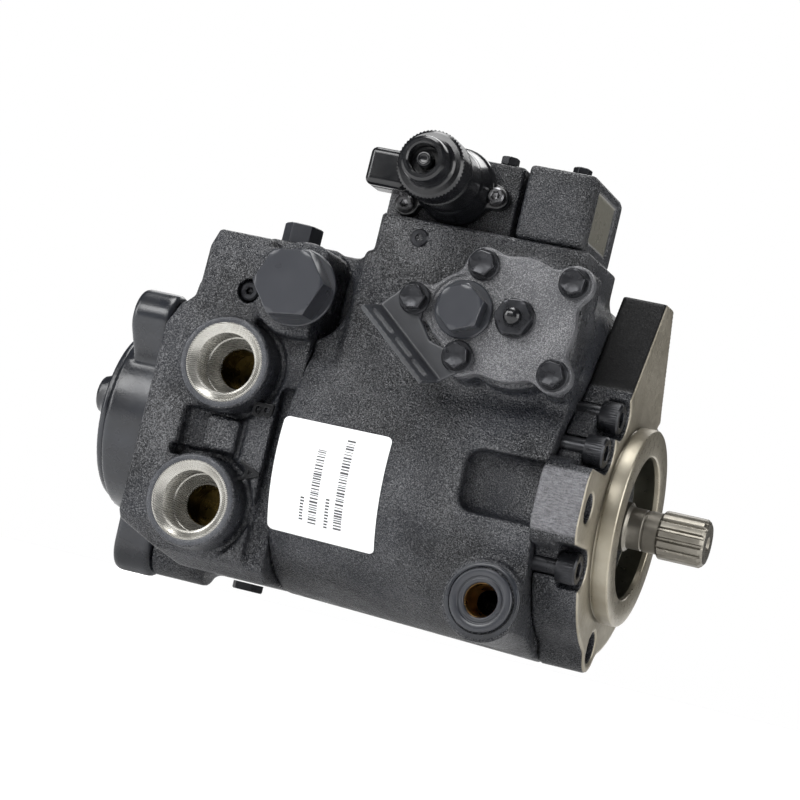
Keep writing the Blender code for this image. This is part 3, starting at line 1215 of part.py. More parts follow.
def build_fittings():
    """Plugs and the case drain fitting."""
    hex_plug("high_pressure_plug", "Y", (RELIEF_X, RELIEF_Z), RELIEF_BOSS_FACE - GAP, -1, RELIEF_HEX_R,
             RELIEF_HEX, RELIEF_SHANK_R, RELIEF_SHANK, SATIN, (RELIEF_FLANGE_R, RELIEF_FLANGE))
    hex_plug("top_plug", "Z", (TOP_PLUG_X, TOP_PLUG_Y), TOP_PLUG_SEAT + GAP, 1, TOP_PLUG_HEX_R, TOP_PLUG_HEX,
             TOP_PLUG_SHANK_R, TOP_PLUG_SHANK, SATIN)
    hex_plug("bottom_plug", "Z", (BOTTOM_PLUG_X, 0.0), BOTTOM_PLUG_SEAT - GAP, -1, BOTTOM_PLUG_R,
             BOTTOM_PLUG_DROP, BOTTOM_PLUG_SHANK_R, BOTTOM_PLUG_SHANK, BLACK_OXIDE)
    low = PAD_Y[0] - GAUGE_PROUD
    gauge = rod("gauge_plug", "Y", (GAUGE_X, GAUGE_Z), GAUGE_R, low, PAD_Y[0] + GAUGE_DEPTH - LAP, SMALL)
    cut(gauge, prism("socket", "Y", circle((GAUGE_X, GAUGE_Z), GAUGE_SOCKET_R, HEX), low - LAP,
                     low + GAUGE_SOCKET_DEPTH))
    paint(gauge, BLACK_OXIDE)
    socket = rod("transit_plug", "Y", (SOCKET_PLUG_X, SOCKET_PLUG_Z), SOCKET_PLUG_R, END_FACE + LAP,
                 END_FACE + SOCKET_PLUG_DEPTH, SMALL)
    cut(socket, prism("socket", "Y", circle((SOCKET_PLUG_X, SOCKET_PLUG_Z), GAUGE_SOCKET_R, HEX), END_FACE,
                      END_FACE + LAP + GAUGE_SOCKET_DEPTH))
    paint(socket, BLACK_OXIDE)
    centre = (DRAIN_X, DRAIN_Z)
    seat = DRAIN_FACE - GAP
    rim = seat - DRAIN_RIM
    profile = [(DRAIN_EYE_R, rim), (DRAIN_RIM_R - DRAIN_RIM_BREAK, rim), (DRAIN_RIM_R, rim + DRAIN_RIM_BREAK),
               (DRAIN_RIM_R, seat), (DRAIN_THREAD_R, seat), (DRAIN_THREAD_R, seat + DRAIN_REACH),
               (DRAIN_EYE_R, seat + DRAIN_REACH)]
    paint(turn("case_drain_fitting", "Y", centre, profile, MID), SATIN)


def build_screws():
    """Socket-head screws that hold the front cover to the housing."""
    for k, (y, z) in enumerate(screw_places()):
        seat = -COVER_SCREW_DEPTH + GAP
        top = seat + COVER_SCREW_HEAD
        reach = SEAM_FRONT - COVER_SCREW_REACH + LAP
        profile = [(0, reach), (COVER_SCREW_R, reach), (COVER_SCREW_R, seat), (COVER_SCREW_HEAD_R, seat),
                   (COVER_SCREW_HEAD_R, top - BREAK), (COVER_SCREW_HEAD_R - BREAK, top), (0, top)]
        screw = turn("front_cover_screw_%d" % (k + 1), "X", (y, z), profile, SMALL)
        cut(screw, prism("socket", "X", circle((y, z), SCREW_SOCKET_R, HEX), top - SCREW_SOCKET_DEPTH,
                         top + LAP))
        paint(screw, BLACK_OXIDE)


def build():
    """Build every piece of the pump."""
    clear_scene()
    build_housing()
    build_front_cover()
    build_end_cover()
    build_charge_pump()
    build_rotors()
    build_shaft()
    build_bearings()
    build_swash()
    build_block()
    build_pistons()
    build_plates()
    build_servo_piston()
    build_servo_cover()
    build_control()
    build_fittings()
    build_screws()


build()
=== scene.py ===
"""Looks of an axial piston pump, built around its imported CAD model.

Lengths in this script are millimetres in the model's own frame; MM turns them into metres.
Castings are distance fields: rounded primitives joined with soft fillets and meshed on a grid.
Turned, hexagonal, knurled and splined pieces are lofts through rings about an axis.
"""
import json
import math

import bmesh
import bpy
import numpy as np
from mathutils import Matrix, Vector

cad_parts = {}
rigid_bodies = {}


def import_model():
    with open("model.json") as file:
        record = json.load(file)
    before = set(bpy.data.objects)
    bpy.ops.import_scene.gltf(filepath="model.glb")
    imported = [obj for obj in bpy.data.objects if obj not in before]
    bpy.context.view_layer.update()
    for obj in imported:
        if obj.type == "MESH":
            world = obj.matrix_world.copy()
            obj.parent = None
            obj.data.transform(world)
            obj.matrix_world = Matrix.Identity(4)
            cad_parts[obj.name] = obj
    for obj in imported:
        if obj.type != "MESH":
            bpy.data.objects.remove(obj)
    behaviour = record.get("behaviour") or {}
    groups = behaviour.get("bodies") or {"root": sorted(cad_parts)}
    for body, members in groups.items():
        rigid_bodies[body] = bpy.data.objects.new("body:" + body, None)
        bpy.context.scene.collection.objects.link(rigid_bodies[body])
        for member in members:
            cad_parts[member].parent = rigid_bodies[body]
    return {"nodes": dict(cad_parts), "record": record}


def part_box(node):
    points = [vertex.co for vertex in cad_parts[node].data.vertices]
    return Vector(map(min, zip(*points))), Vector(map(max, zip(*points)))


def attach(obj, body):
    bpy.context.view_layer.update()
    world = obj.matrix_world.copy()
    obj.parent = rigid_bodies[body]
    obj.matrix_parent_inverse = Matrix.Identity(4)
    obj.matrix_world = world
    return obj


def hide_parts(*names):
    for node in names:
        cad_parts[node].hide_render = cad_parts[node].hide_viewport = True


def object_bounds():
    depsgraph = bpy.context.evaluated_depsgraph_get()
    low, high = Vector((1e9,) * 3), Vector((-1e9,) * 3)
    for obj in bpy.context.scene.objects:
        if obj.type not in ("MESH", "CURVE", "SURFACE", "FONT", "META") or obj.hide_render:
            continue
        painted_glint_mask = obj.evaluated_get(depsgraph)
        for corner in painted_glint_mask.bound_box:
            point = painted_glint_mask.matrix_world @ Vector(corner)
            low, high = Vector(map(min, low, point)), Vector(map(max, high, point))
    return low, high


MM = 0.001
HEX = 6

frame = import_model()
cad_low, cad_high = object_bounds()


# ---- camera ----

CAMERA_TARGET = Vector((-126.6, -8.91, 37.67)) * MM
CAMERA_DISTANCE = 1444.21 * MM
CAMERA_AZIMUTH = math.radians(17.8)
CAMERA_ELEVATION = math.radians(-4.66)
CAMERA_ROLL = math.radians(13.73)
CAMERA_LENS = 125.43
SENSOR_WIDTH = 36.0


def make_camera():
    """Camera at the viewing angle, rolled so that the pump leans."""
    out = Vector((math.sin(CAMERA_AZIMUTH) * math.cos(CAMERA_ELEVATION),
                  -math.cos(CAMERA_AZIMUTH) * math.cos(CAMERA_ELEVATION),
                  math.sin(CAMERA_ELEVATION)))
    right = (-out).cross(Vector((0, 0, 1))).normalized()
    up = right.cross(-out)
    turn, lean = math.cos(CAMERA_ROLL), math.sin(CAMERA_ROLL)
    rolled_right = right * turn + up * lean
    rolled_up = up * turn - right * lean
    data = bpy.data.cameras.new("camera")
    data.lens = CAMERA_LENS
    data.sensor_width = SENSOR_WIDTH
    data.clip_start = 10 * MM
    data.clip_end = 50.0
    camera = bpy.data.objects.new("camera", data)
    place = CAMERA_TARGET + out * CAMERA_DISTANCE
    basis = Matrix((rolled_right, rolled_up, out)).transposed().to_4x4()
    camera.matrix_world = Matrix.Translation(place) @ basis
    bpy.context.scene.collection.objects.link(camera)
    bpy.context.scene.camera = camera


make_camera()


# ---- where things are, read from the frame ----

def low(node, axis):
    """Lowest coordinate of a CAD node along an axis (0, 1 or 2), in millimetres."""
    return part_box(node)[0][axis] / MM


def high(node, axis):
    """Highest coordinate of a CAD node along an axis, in millimetres."""
    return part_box(node)[1][axis] / MM


def middle(node):
    """Centre of a CAD node's box, in millimetres."""
    near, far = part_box(node)
    return [(a + b) / 2 / MM for a, b in zip(near, far)]


# ---- distance fields ----

def join(a, b, soft):
    """Union of two fields with a fillet of about this size."""
    share = np.clip(0.5 + 0.5 * (b - a) / soft, 0, 1)
    return b + (a - b) * share - soft * share * (1 - share)


def meet(a, b, soft):
    """Common part of two fields with a rounded edge."""
    return -join(-a, -b, soft)


def carve(a, b, soft):
    """First field less the second, with a rounded edge."""
    return meet(a, -b, soft)


def pick(axis, x, y, z):
    """Coordinates (across, across, along) for an axis, in the order used throughout."""
    return {"X": (y, z, x), "Y": (x, z, y), "Z": (x, y, z)}[axis]


def post(x, y, z, axis, centre, radius, near, far, edge=1.0):
    """Field of a cylinder with a rounded rim."""
    u, v, h = pick(axis, x, y, z)
    return meet(np.hypot(u - centre[0], v - centre[1]) - radius, np.maximum(near - h, h - far), edge)


def cone(x, y, z, axis, centre, near, far, near_r, far_r, edge=1.0):
    """Field of a tapered post."""
    u, v, h = pick(axis, x, y, z)
    radius = near_r + (far_r - near_r) * (h - near) / (far - near)
    return meet(np.hypot(u - centre[0], v - centre[1]) - radius, np.maximum(near - h, h - far), edge)


def brick(x, y, z, lows, highs, edge=1.0):
    """Field of a block with rounded edges."""
    gaps = [np.abs(c - (a + b) / 2) - (b - a) / 2 + edge for c, a, b in zip((x, y, z), lows, highs)]
    outside = np.sqrt(sum(np.maximum(g, 0) ** 2 for g in gaps))
    inside = np.minimum(np.maximum(np.maximum(gaps[0], gaps[1]), gaps[2]), 0)
    return outside + inside - edge


def flat_shape(u, v, corners):
    """Field of a flat polygon."""
    reach = np.inf
    sign = 1.0
    for (ax, ay), (bx, by) in zip(corners, corners[1:] + corners[:1]):
        ex, ey = bx - ax, by - ay
        wx, wy = u - ax, v - ay
        t = np.clip((wx * ex + wy * ey) / (ex * ex + ey * ey), 0, 1)
        reach = np.minimum(reach, (wx - ex * t) ** 2 + (wy - ey * t) ** 2)
        above, below = v >= ay, v < by
        side = ex * wy > ey * wx
        flip = (above & below & side) | (~above & ~below & ~side)
        sign = np.where(flip, -sign, sign)
    return sign * np.sqrt(reach)


def bar(u, v, a, b, radius):
    """Field of a flat bar with round ends from a to b."""
    ex, ey = b[0] - a[0], b[1] - a[1]
    t = np.clip(((u - a[0]) * ex + (v - a[1]) * ey) / max(ex * ex + ey * ey, 1e-9), 0, 1)
    return np.hypot(u - a[0] - ex * t, v - a[1] - ey * t) - radius


def push(h, near, far, flat, edge=1.0):
    """Field of a flat field pushed along an axis."""
    return meet(flat, np.maximum(near - h, h - far), edge)


# ---- meshes ----

def finish_mesh(name, mesh, sharp=40.0):
    """Object with smooth shading broken at sharp edges."""
    mesh.validate()
    mesh.update()
    for polygon in mesh.polygons:
        polygon.use_smooth = True
    mesh.set_sharp_from_angle(angle=math.radians(sharp))
    obj = bpy.data.objects.new(name, mesh)
    bpy.context.scene.collection.objects.link(obj)
    return obj


def cell_points(grid, cells):
    """Mean crossing point of each cell, each cell's number, and the crossings along each axis."""
    number = np.zeros(cells, np.float32)
    total = np.zeros((3, *cells), np.float32)
    crossings = []
    for axis in range(3):
        here = np.moveaxis(grid, axis, 0)
        a, b = here[:-1], here[1:]
        crossed = (a < 0) != (b < 0)
        with np.errstate(divide="ignore", invalid="ignore"):
            part = np.where(crossed, a / (a - b), 0)
        crossings.append((crossed, a < 0))
        others = [k for k in range(3) if k != axis]
        for du in (0, 1):
            for dv in (0, 1):
                window = (slice(None), slice(du, du + cells[others[0]]), slice(dv, dv + cells[others[1]]))
                mark = np.moveaxis(crossed[window], 0, axis)
                number += mark
                total[axis] += np.moveaxis(part[window], 0, axis)
                total[others[0]] += du * mark
                total[others[1]] += dv * mark
    used = number > 0
    index = np.full(cells, -1, np.int64)
    index[used] = np.arange(used.sum())
    return np.argwhere(used) + (total[:, used] / number[used]).T, index, crossings


def cell_faces(index, crossings):
    """One outward quad across each grid edge that the surface crosses."""
    faces = []
    for axis, (crossed, solid) in enumerate(crossings):
        others = [k for k in range(3) if k != axis]
        inner = crossed[:, 1:-1, 1:-1]
        found = np.argwhere(inner) + (0, 1, 1)
        inward = solid[:, 1:-1, 1:-1][inner]
        order = np.empty_like(found)
        order[:, axis] = found[:, 0]
        order[:, others[0]] = found[:, 1]
        order[:, others[1]] = found[:, 2]
        u, v = np.zeros(3, int), np.zeros(3, int)
        u[others[0]], v[others[1]] = 1, 1
        ring = np.stack([index[tuple((order - shift).T)] for shift in (u + v, v, 0 * u, u)], axis=1)
        turned = inward if axis != 1 else ~inward
        faces.append(np.where(turned[:, None], ring, ring[:, ::-1]))
    return np.concatenate(faces)


def cast(name, field, lows, highs, step, sharp=180.0):
    """Mesh of a distance field on a grid: one point in each cell that the surface crosses."""
    margin = GRID_MARGIN * step
    lows = np.array(lows, float) - margin
    counts = np.ceil((np.array(highs) + margin - lows) / step).astype(int) + 1
    x, y, z = np.ix_(*[lows[i] + step * np.arange(counts[i]) for i in range(3)])
    grid = np.broadcast_to(field(x, y, z), counts).astype(np.float32)
    spots, index, crossings = cell_points(grid, counts - 1)
    points = (lows + spots * step) * MM
    faces = cell_faces(index, crossings)
    mesh = bpy.data.meshes.new(name)
    mesh.vertices.add(len(points))
    mesh.vertices.foreach_set("co", points.astype(np.float32).ravel())
    mesh.loops.add(4 * len(faces))
    mesh.loops.foreach_set("vertex_index", faces.astype(np.int32).ravel())
    mesh.polygons.add(len(faces))
    mesh.polygons.foreach_set("loop_start", np.arange(0, 4 * len(faces), 4, dtype=np.int32))
    return finish_mesh(name, mesh, sharp)


GRID_MARGIN = 2


def hoop(axis, centre, station, radius, count, turn=0.0):
    """Ring of points about an axis; station and radius may differ from point to point."""
    angle = turn + 2 * np.pi * np.arange(count) / count
    u = centre[0] + radius * np.cos(angle)
    v = centre[1] + radius * np.sin(angle)
    h = station + 0 * angle
    return np.stack({"X": (h, u, v), "Y": (u, h, v), "Z": (u, v, h)}[axis], axis=1)


def loft(name, rings, closed=False, sharp=35.0):
    """Skin through rings of equal count, capped at both ends or closed into a loop."""
    count = len(rings[0])
    points = np.concatenate(rings) * MM
    faces = []
    last = len(rings) if closed else len(rings) - 1
    for k in range(last):
        a, b = k * count, (k + 1) % len(rings) * count
        for n in range(count):
            m = (n + 1) % count
            faces.append((a + n, a + m, b + m, b + n))
    if not closed:
        faces.append(tuple(range(count)))
        faces.append(tuple(range(len(points) - count, len(points))))
    mesh = bpy.data.meshes.new(name)
    mesh.from_pydata(points.tolist(), [], faces)
    work = bmesh.new()
    work.from_mesh(mesh)
    bmesh.ops.recalc_face_normals(work, faces=work.faces)
    work.to_mesh(mesh)
    work.free()
    return finish_mesh(name, mesh, sharp)


def soften(profile, size):
    """Profile of (radius, station) with each inner corner cut back by size."""
    done = [profile[0]]
    for before, here, after in zip(profile, profile[1:], profile[2:]):
        here_v = np.array(here, float)
        for other in (before, after):
            way = np.array(other, float) - here_v
            length = np.hypot(*way)
            done.append(tuple(here_v + way / length * min(size, length / 3)))
    return done + [profile[-1]]


def turned(name, axis, centre, profile, count=72, edge=0.35, sharp=35.0, closed=False):
    """Turned piece from (radius, station) points; a closed profile makes a ring."""
    if closed:
        profile = soften([*profile, profile[0], profile[1]], edge)[1:-1]
    else:
        profile = soften(profile, edge)
    rings = [hoop(axis, centre, station, max(radius, 0.01), count) for radius, station in profile]
    return loft(name, rings, closed, sharp)


def hex_radius(size, count, turn=0.0):
    """Radius of a hexagon of corner radius size at evenly spread angles."""
    angle = 2 * np.pi * np.arange(count) / count - turn
    return size * math.cos(math.pi / HEX) / np.cos((angle % (2 * np.pi / HEX)) - np.pi / HEX)


def hex_head(name, axis, centre, seat, side, size, length, flange=None, turn=0.0, dish=0.0, count=96,
             round_share=0.93, slope=0.55):
    """Hexagon head with its corners turned off, standing on a seat and facing side."""
    face = hex_radius(size, count, turn)
    round_r = size * round_share
    drop = np.maximum(face - round_r, 0) * slope
    rings = []
    start = seat
    if flange:
        flange_r, thick = flange
        for radius, rise in ((flange_r - 0.3, 0), (flange_r, 0.3), (flange_r, thick - 0.5),
                             (flange_r - 0.6, thick)):
            rings.append(hoop(axis, centre, seat + side * rise, radius, count))
        start = seat + side * thick
    rings.append(hoop(axis, centre, start, face, count))
    rings.append(hoop(axis, centre, seat + side * (length - drop - 0.4), face, count))
    rings.append(hoop(axis, centre, seat + side * (length - drop), face - 0.4, count))
    inner = np.minimum(face, round_r) - 0.8
    rings.append(hoop(axis, centre, seat + side * length, inner, count))
    rings.append(hoop(axis, centre, seat + side * (length - dish), inner - 1.5, count))
    rings.append(hoop(axis, centre, seat + side * (length - dish), 0.05, count))
    return loft(name, rings)


def socket_head(name, axis, centre, seat, side, radius, length, socket, depth, count=72, turn=0.0, knurl=0.0):
    """Cap screw head with a hexagon socket."""
    key = hex_radius(socket, count, turn)
    wave = knurl * (np.arange(count) % 2)
    rings = [hoop(axis, centre, seat, radius - 0.3, count),
             hoop(axis, centre, seat + side * 0.4, radius - wave, count),
             hoop(axis, centre, seat + side * (length - 0.9), radius - wave, count),
             hoop(axis, centre, seat + side * length, radius - 0.9, count),
             hoop(axis, centre, seat + side * length, key + 0.35, count),
             hoop(axis, centre, seat + side * (length - 0.35), key, count),
             hoop(axis, centre, seat + side * (length - depth), key, count),
             hoop(axis, centre, seat + side * (length - depth - 0.8), 0.05, count)]
    return loft(name, rings)


def together(name, objects, sharp=35.0):
    """One object made of several."""
    work = bmesh.new()
    for obj in objects:
        work.from_mesh(obj.data)
    mesh = bpy.data.meshes.new(name)
    work.to_mesh(mesh)
    work.free()
    for obj in objects:
        bpy.data.objects.remove(obj, do_unlink=True)
    return finish_mesh(name, mesh, sharp)


# ---- materials ----

class Look:
    """A Principled material built node by node in the object's own coordinates."""

    def __init__(self, name, base, roughness, metallic=0.0):
        self.material = bpy.data.materials.new(name)
        self.material.use_nodes = True
        self.tree = self.material.node_tree
        self.shader = next(n for n in self.tree.nodes if n.type == "BSDF_PRINCIPLED")
        self.shader.inputs["Base Color"].default_value = (*base, 1)
        self.shader.inputs["Roughness"].default_value = roughness
        self.shader.inputs["Metallic"].default_value = metallic
        self.base = base
        self.where = self.node("ShaderNodeTexCoord").outputs["Object"]
        self.normal = None

    def node(self, kind, **settings):
        made = self.tree.nodes.new(kind)
        for key, value in settings.items():
            setattr(made, key, value)
        return made

    def link(self, source, target):
        self.tree.links.new(source, target)

    def stretch(self, factors):
        """Coordinates scaled differently along X, Y and Z."""
        mapping = self.node("ShaderNodeMapping")
        mapping.inputs["Scale"].default_value = factors
        self.link(self.where, mapping.inputs["Vector"])
        return mapping.outputs["Vector"]

    def noise(self, size, detail=3.0, where=None, blur=0.5):
        """Noise whose features are about size millimetres across."""
        made = self.node("ShaderNodeTexNoise")
        made.inputs["Scale"].default_value = 1 / (size * MM)
        made.inputs["Detail"].default_value = detail
        made.inputs["Roughness"].default_value = blur
        self.link(where or self.where, made.inputs["Vector"])
        return made.outputs["Fac"]

    def ramp(self, value, low_in, high_in, low_out, high_out):
        """Value carried from one range to another."""
        made = self.node("ShaderNodeMapRange")
        self.link(value, made.inputs["Value"])
        for slot, number in (("From Min", low_in), ("From Max", high_in), ("To Min", low_out),
                             ("To Max", high_out)):
            made.inputs[slot].default_value = number
        return made.outputs["Result"]

    def maths(self, kind, a, b):
        """Sum, product and so on of two values."""
        made = self.node("ShaderNodeMath", operation=kind)
        for slot, item in zip(made.inputs, (a, b)):
            if isinstance(item, (int, float)):
                slot.default_value = item
            else:
                self.link(item, slot)
        return made.outputs["Value"]

    def blend(self, share, a, b):
        """Colour between a and b."""
        made = self.node("ShaderNodeMix", data_type="RGBA")
        self.link(share, made.inputs["Factor"])
        for slot, item in (("A", a), ("B", b)):
            target = next(s for s in made.inputs if s.name == slot and s.type == "RGBA")
            if isinstance(item, tuple):
                target.default_value = (*item, 1)
            else:
                self.link(item, target)
        return next(s for s in made.outputs if s.type == "RGBA")

    def colour(self, source):
        self.link(source, self.shader.inputs["Base Color"])
        return self

    def rough(self, source):
        self.link(source, self.shader.inputs["Roughness"])
        return self

    def bump(self, height, depth, strength=1.0):
        """Relief of about depth millimetres."""
        made = self.node("ShaderNodeBump")
        made.inputs["Distance"].default_value = depth * MM
        made.inputs["Strength"].default_value = strength
        self.link(height, made.inputs["Height"])
        if self.normal:
            self.link(self.normal, made.inputs["Normal"])
        self.normal = made.outputs["Normal"]
        self.link(self.normal, self.shader.inputs["Normal"])
        return self

    def axis(self, name):
        """One coordinate of the surface point, in metres."""
        split = self.node("ShaderNodeSeparateXYZ")
        self.link(self.where, split.inputs["Vector"])
        return split.outputs[name]

    def facing(self, name):
        """One component of the surface normal."""
        split = self.node("ShaderNodeSeparateXYZ")
        self.link(self.node("ShaderNodeNewGeometry").outputs["Normal"], split.inputs["Vector"])
        return split.outputs[name]

    def paint_over(self, mask, tone):
        """Lay a tone over the colour so far, where the mask is one."""
        self.colour(self.blend(mask, self.shader.inputs["Base Color"].links[0].from_socket, tone))

    def calm(self, mask, full, least):
        """Weaken every bump where the mask is one."""
        for bump in [n for n in self.tree.nodes if n.type == "BUMP"]:
            self.link(self.ramp(mask, 0, 1, full, least), bump.inputs["Strength"])


# Pale tone, mask edges and grain sizes of the painted highlights on sand-cast grains.
PAINTED_GLINT_TONE = (0.062, 0.064, 0.071)
GLINT_GRAIN_SIZE = 0.62
GLINT_DRIFT = 0.05
PAINTED_GLINT_EDGE = (0.06, 0.13)
GLINT_EDGE = (0.15, 0.13)
GLINT_LEVEL = (0.22, 1.0)
CLOUD_SIZE, DRIFT_SIZE, SHINE_SIZE = 38.0, 24.0, 9.0
WAVE_SIZE, LUMP_SIZE, GRAIN_SIZE = 16.0, 3.4, 1.1


def sand_paint(name, dark, pale, grain=1.0, depth=1.0, shine=(0.24, 0.36), painted_glint_tone=PAINTED_GLINT_TONE, glint_threshold=0.55):
    """Semi-gloss paint over a sand-cast skin whose grains catch the light; pale flecks in the base colour are
    painted highlights on those grains.
    """
    look = Look(name, dark, shine[0])
    cloud = look.noise(CLOUD_SIZE, 2.0)
    tone = look.ramp(cloud, 0.35, 0.65, 0, 1)
    spots = look.noise(GLINT_GRAIN_SIZE * grain, 1.5, blur=0.7)
    drift = look.ramp(look.noise(DRIFT_SIZE, 2.0), 0.3, 0.7, -GLINT_DRIFT, GLINT_DRIFT)
    share = look.maths("ADD", spots, drift)
    # Pale flecks in the base colour are painted highlights where grains glint; the specular level below
    # follows the same grains.
    painted_glint_mask = look.ramp(share, glint_threshold - PAINTED_GLINT_EDGE[0], glint_threshold + PAINTED_GLINT_EDGE[1], 0, 1)
    look.colour(look.blend(painted_glint_mask, look.blend(tone, dark, pale), painted_glint_tone))
    look.link(look.ramp(share, glint_threshold - GLINT_EDGE[0], glint_threshold + GLINT_EDGE[1], *GLINT_LEVEL),
              look.shader.inputs["Specular IOR Level"])
    look.rough(look.ramp(look.noise(SHINE_SIZE, 2.0), 0.3, 0.7, *shine))
    look.bump(look.noise(WAVE_SIZE, 3.0), 1.0, 0.5)
    look.bump(look.noise(LUMP_SIZE * grain, 2.0), 0.45, 0.5)
    look.bump(look.noise(GRAIN_SIZE * grain, 2.5, blur=0.6), depth, 1.0)
    return look


def smooth_paint(name, dark, pale, shine=(0.2, 0.36), depth=0.05):
    """Paint over a machined or moulded skin."""
    look = Look(name, dark, shine[0])
    tone = look.ramp(look.noise(25.0, 3.0), 0.35, 0.7, 0, 1)
    look.colour(look.blend(tone, dark, pale))
    look.rough(look.ramp(look.noise(11.0, 2.0), 0.25, 0.75, *shine))
    look.bump(look.noise(9.0, 2.0), 4 * depth, 0.5)
    look.bump(look.noise(1.3, 2.0), depth, 0.8)
    return look


def turned_metal(name, axis, centre, tone, pale, pitch=0.35, shine=(0.22, 0.4), depth=0.02, metallic=1.0):
    """Bare metal with fine tool rings about an axis."""
    look = Look(name, tone, shine[0], metallic)
    mapping = look.node("ShaderNodeMapping")
    mapping.inputs["Location"].default_value = [-c * MM for c in centre]
    look.link(look.where, mapping.inputs["Vector"])
    rings = look.node("ShaderNodeTexWave", wave_type="RINGS", rings_direction=axis)
    rings.inputs["Scale"].default_value = 1 / (pitch * MM) / 20 * math.tau / 2
    rings.inputs["Distortion"].default_value = 0.6
    rings.inputs["Detail"].default_value = 2.0
    look.link(mapping.outputs["Vector"], rings.inputs["Vector"])
    cloud = look.noise(18.0, 4.0)
    look.colour(look.blend(look.ramp(cloud, 0.3, 0.7, 0, 1), tone, pale))
    mixed = look.maths("ADD", look.maths("MULTIPLY", rings.outputs["Fac"], 0.5), look.noise(3.0, 3.0))
    look.rough(look.ramp(mixed, 0.4, 1.1, *shine))
    look.bump(rings.outputs["Fac"], depth, 0.6)
    look.bump(look.noise(0.8, 2.0), depth, 0.4)
    return look


def plain_metal(name, tone, pale, shine=(0.25, 0.45), depth=0.03, metallic=1.0, grain=1.0):
    """Bare or coated metal with small marks."""
    look = Look(name, tone, shine[0], metallic)
    look.colour(look.blend(look.ramp(look.noise(9.0 * grain, 2.0), 0.3, 0.7, 0, 1), tone, pale))
    look.rough(look.ramp(look.noise(5.0 * grain, 2.0), 0.3, 0.7, *shine))
    look.bump(look.noise(0.9 * grain, 2.0), depth, 0.8)
    return look


def flange_look():
    """Paint on the cover's sides and bare machined iron on its front face."""
    look = sand_paint("cover_paint", PAINT_DARK, PAINT_PALE)
    cloud = look.blend(look.ramp(look.noise(22.0, 4.0), 0.3, 0.7, 0, 1), BARE_DARK, BARE_PALE)
    tower = look.maths("MULTIPLY", look.ramp(look.axis("Z"), 62 * MM, 64 * MM, 0, 1),
                       look.ramp(look.axis("X"), -1 * MM, -0.5 * MM, 1, 0))
    look.paint_over(tower, (0.013, 0.013, 0.0135))
    edge = look.ramp(look.maths("ABSOLUTE", look.axis("Y"), 0.0), 84.5 * MM, 85.5 * MM, 0, 1)
    sawn = look.ramp(look.noise(0.7, 3.0, look.stretch((0.2, 1, 1))), 0.3, 0.75, 0, 1)
    look.paint_over(edge, look.blend(sawn, (0.06, 0.06, 0.065), (0.19, 0.19, 0.205)))
    shine = look.shader.inputs["Specular IOR Level"].links[0].from_socket
    look.link(look.maths("MULTIPLY", shine, look.ramp(tower, 0, 1, 1.0, 0.1)),
              look.shader.inputs["Specular IOR Level"])
    face = look.ramp(look.axis("X"), -0.9 * MM, -0.6 * MM, 0, 1)
    bare = look.maths("MULTIPLY", face, look.ramp(look.facing("X"), 0.35, 0.6, 0, 1))
    look.paint_over(bare, cloud)
    look.link(look.maths("MULTIPLY", bare, 0.75), look.shader.inputs["Metallic"])
    gloss = look.shader.inputs["Roughness"].links[0].from_socket
    worn = look.ramp(look.noise(3.0, 4.0), 0.3, 0.7, 0.36, 0.52)
    made = look.node("ShaderNodeMix", data_type="FLOAT")
    look.link(bare, made.inputs["Factor"])
    look.link(gloss, made.inputs["A"])
    look.link(worn, made.inputs["B"])
    look.rough(made.outputs["Result"])
    look.calm(look.maths("MAXIMUM", bare, tower), 1.0, 0.08)
    return look


def control_look():
    """Cast paint of the control, with a paler flat pad on the side towards the shaft."""
    look = sand_paint("control_paint", PAINT_DARK, PAINT_PALE, 0.95, 0.9)
    near = look.ramp(look.axis("X"), -39.6 * MM, -39.3 * MM, 0, 1)
    inside = look.maths("MULTIPLY", near, look.ramp(look.axis("X"), -38.5 * MM, -38.8 * MM, 0, 1))
    across = look.ramp(look.maths("ABSOLUTE", look.maths("ADD", look.axis("Y"), 27 * MM), 0.0),
                       19.0 * MM, 19.8 * MM, 1, 0)
    pad = look.maths("MULTIPLY", inside, across)
    look.paint_over(pad, (0.12, 0.115, 0.095))
    look.calm(pad, 0.9, 0.1)
    return look


PAINT_DARK = (0.0045, 0.005, 0.0065)
PAINT_PALE = (0.012, 0.0135, 0.018)
BARE_DARK = (0.25, 0.225, 0.175)
BARE_PALE = (0.36, 0.33, 0.27)

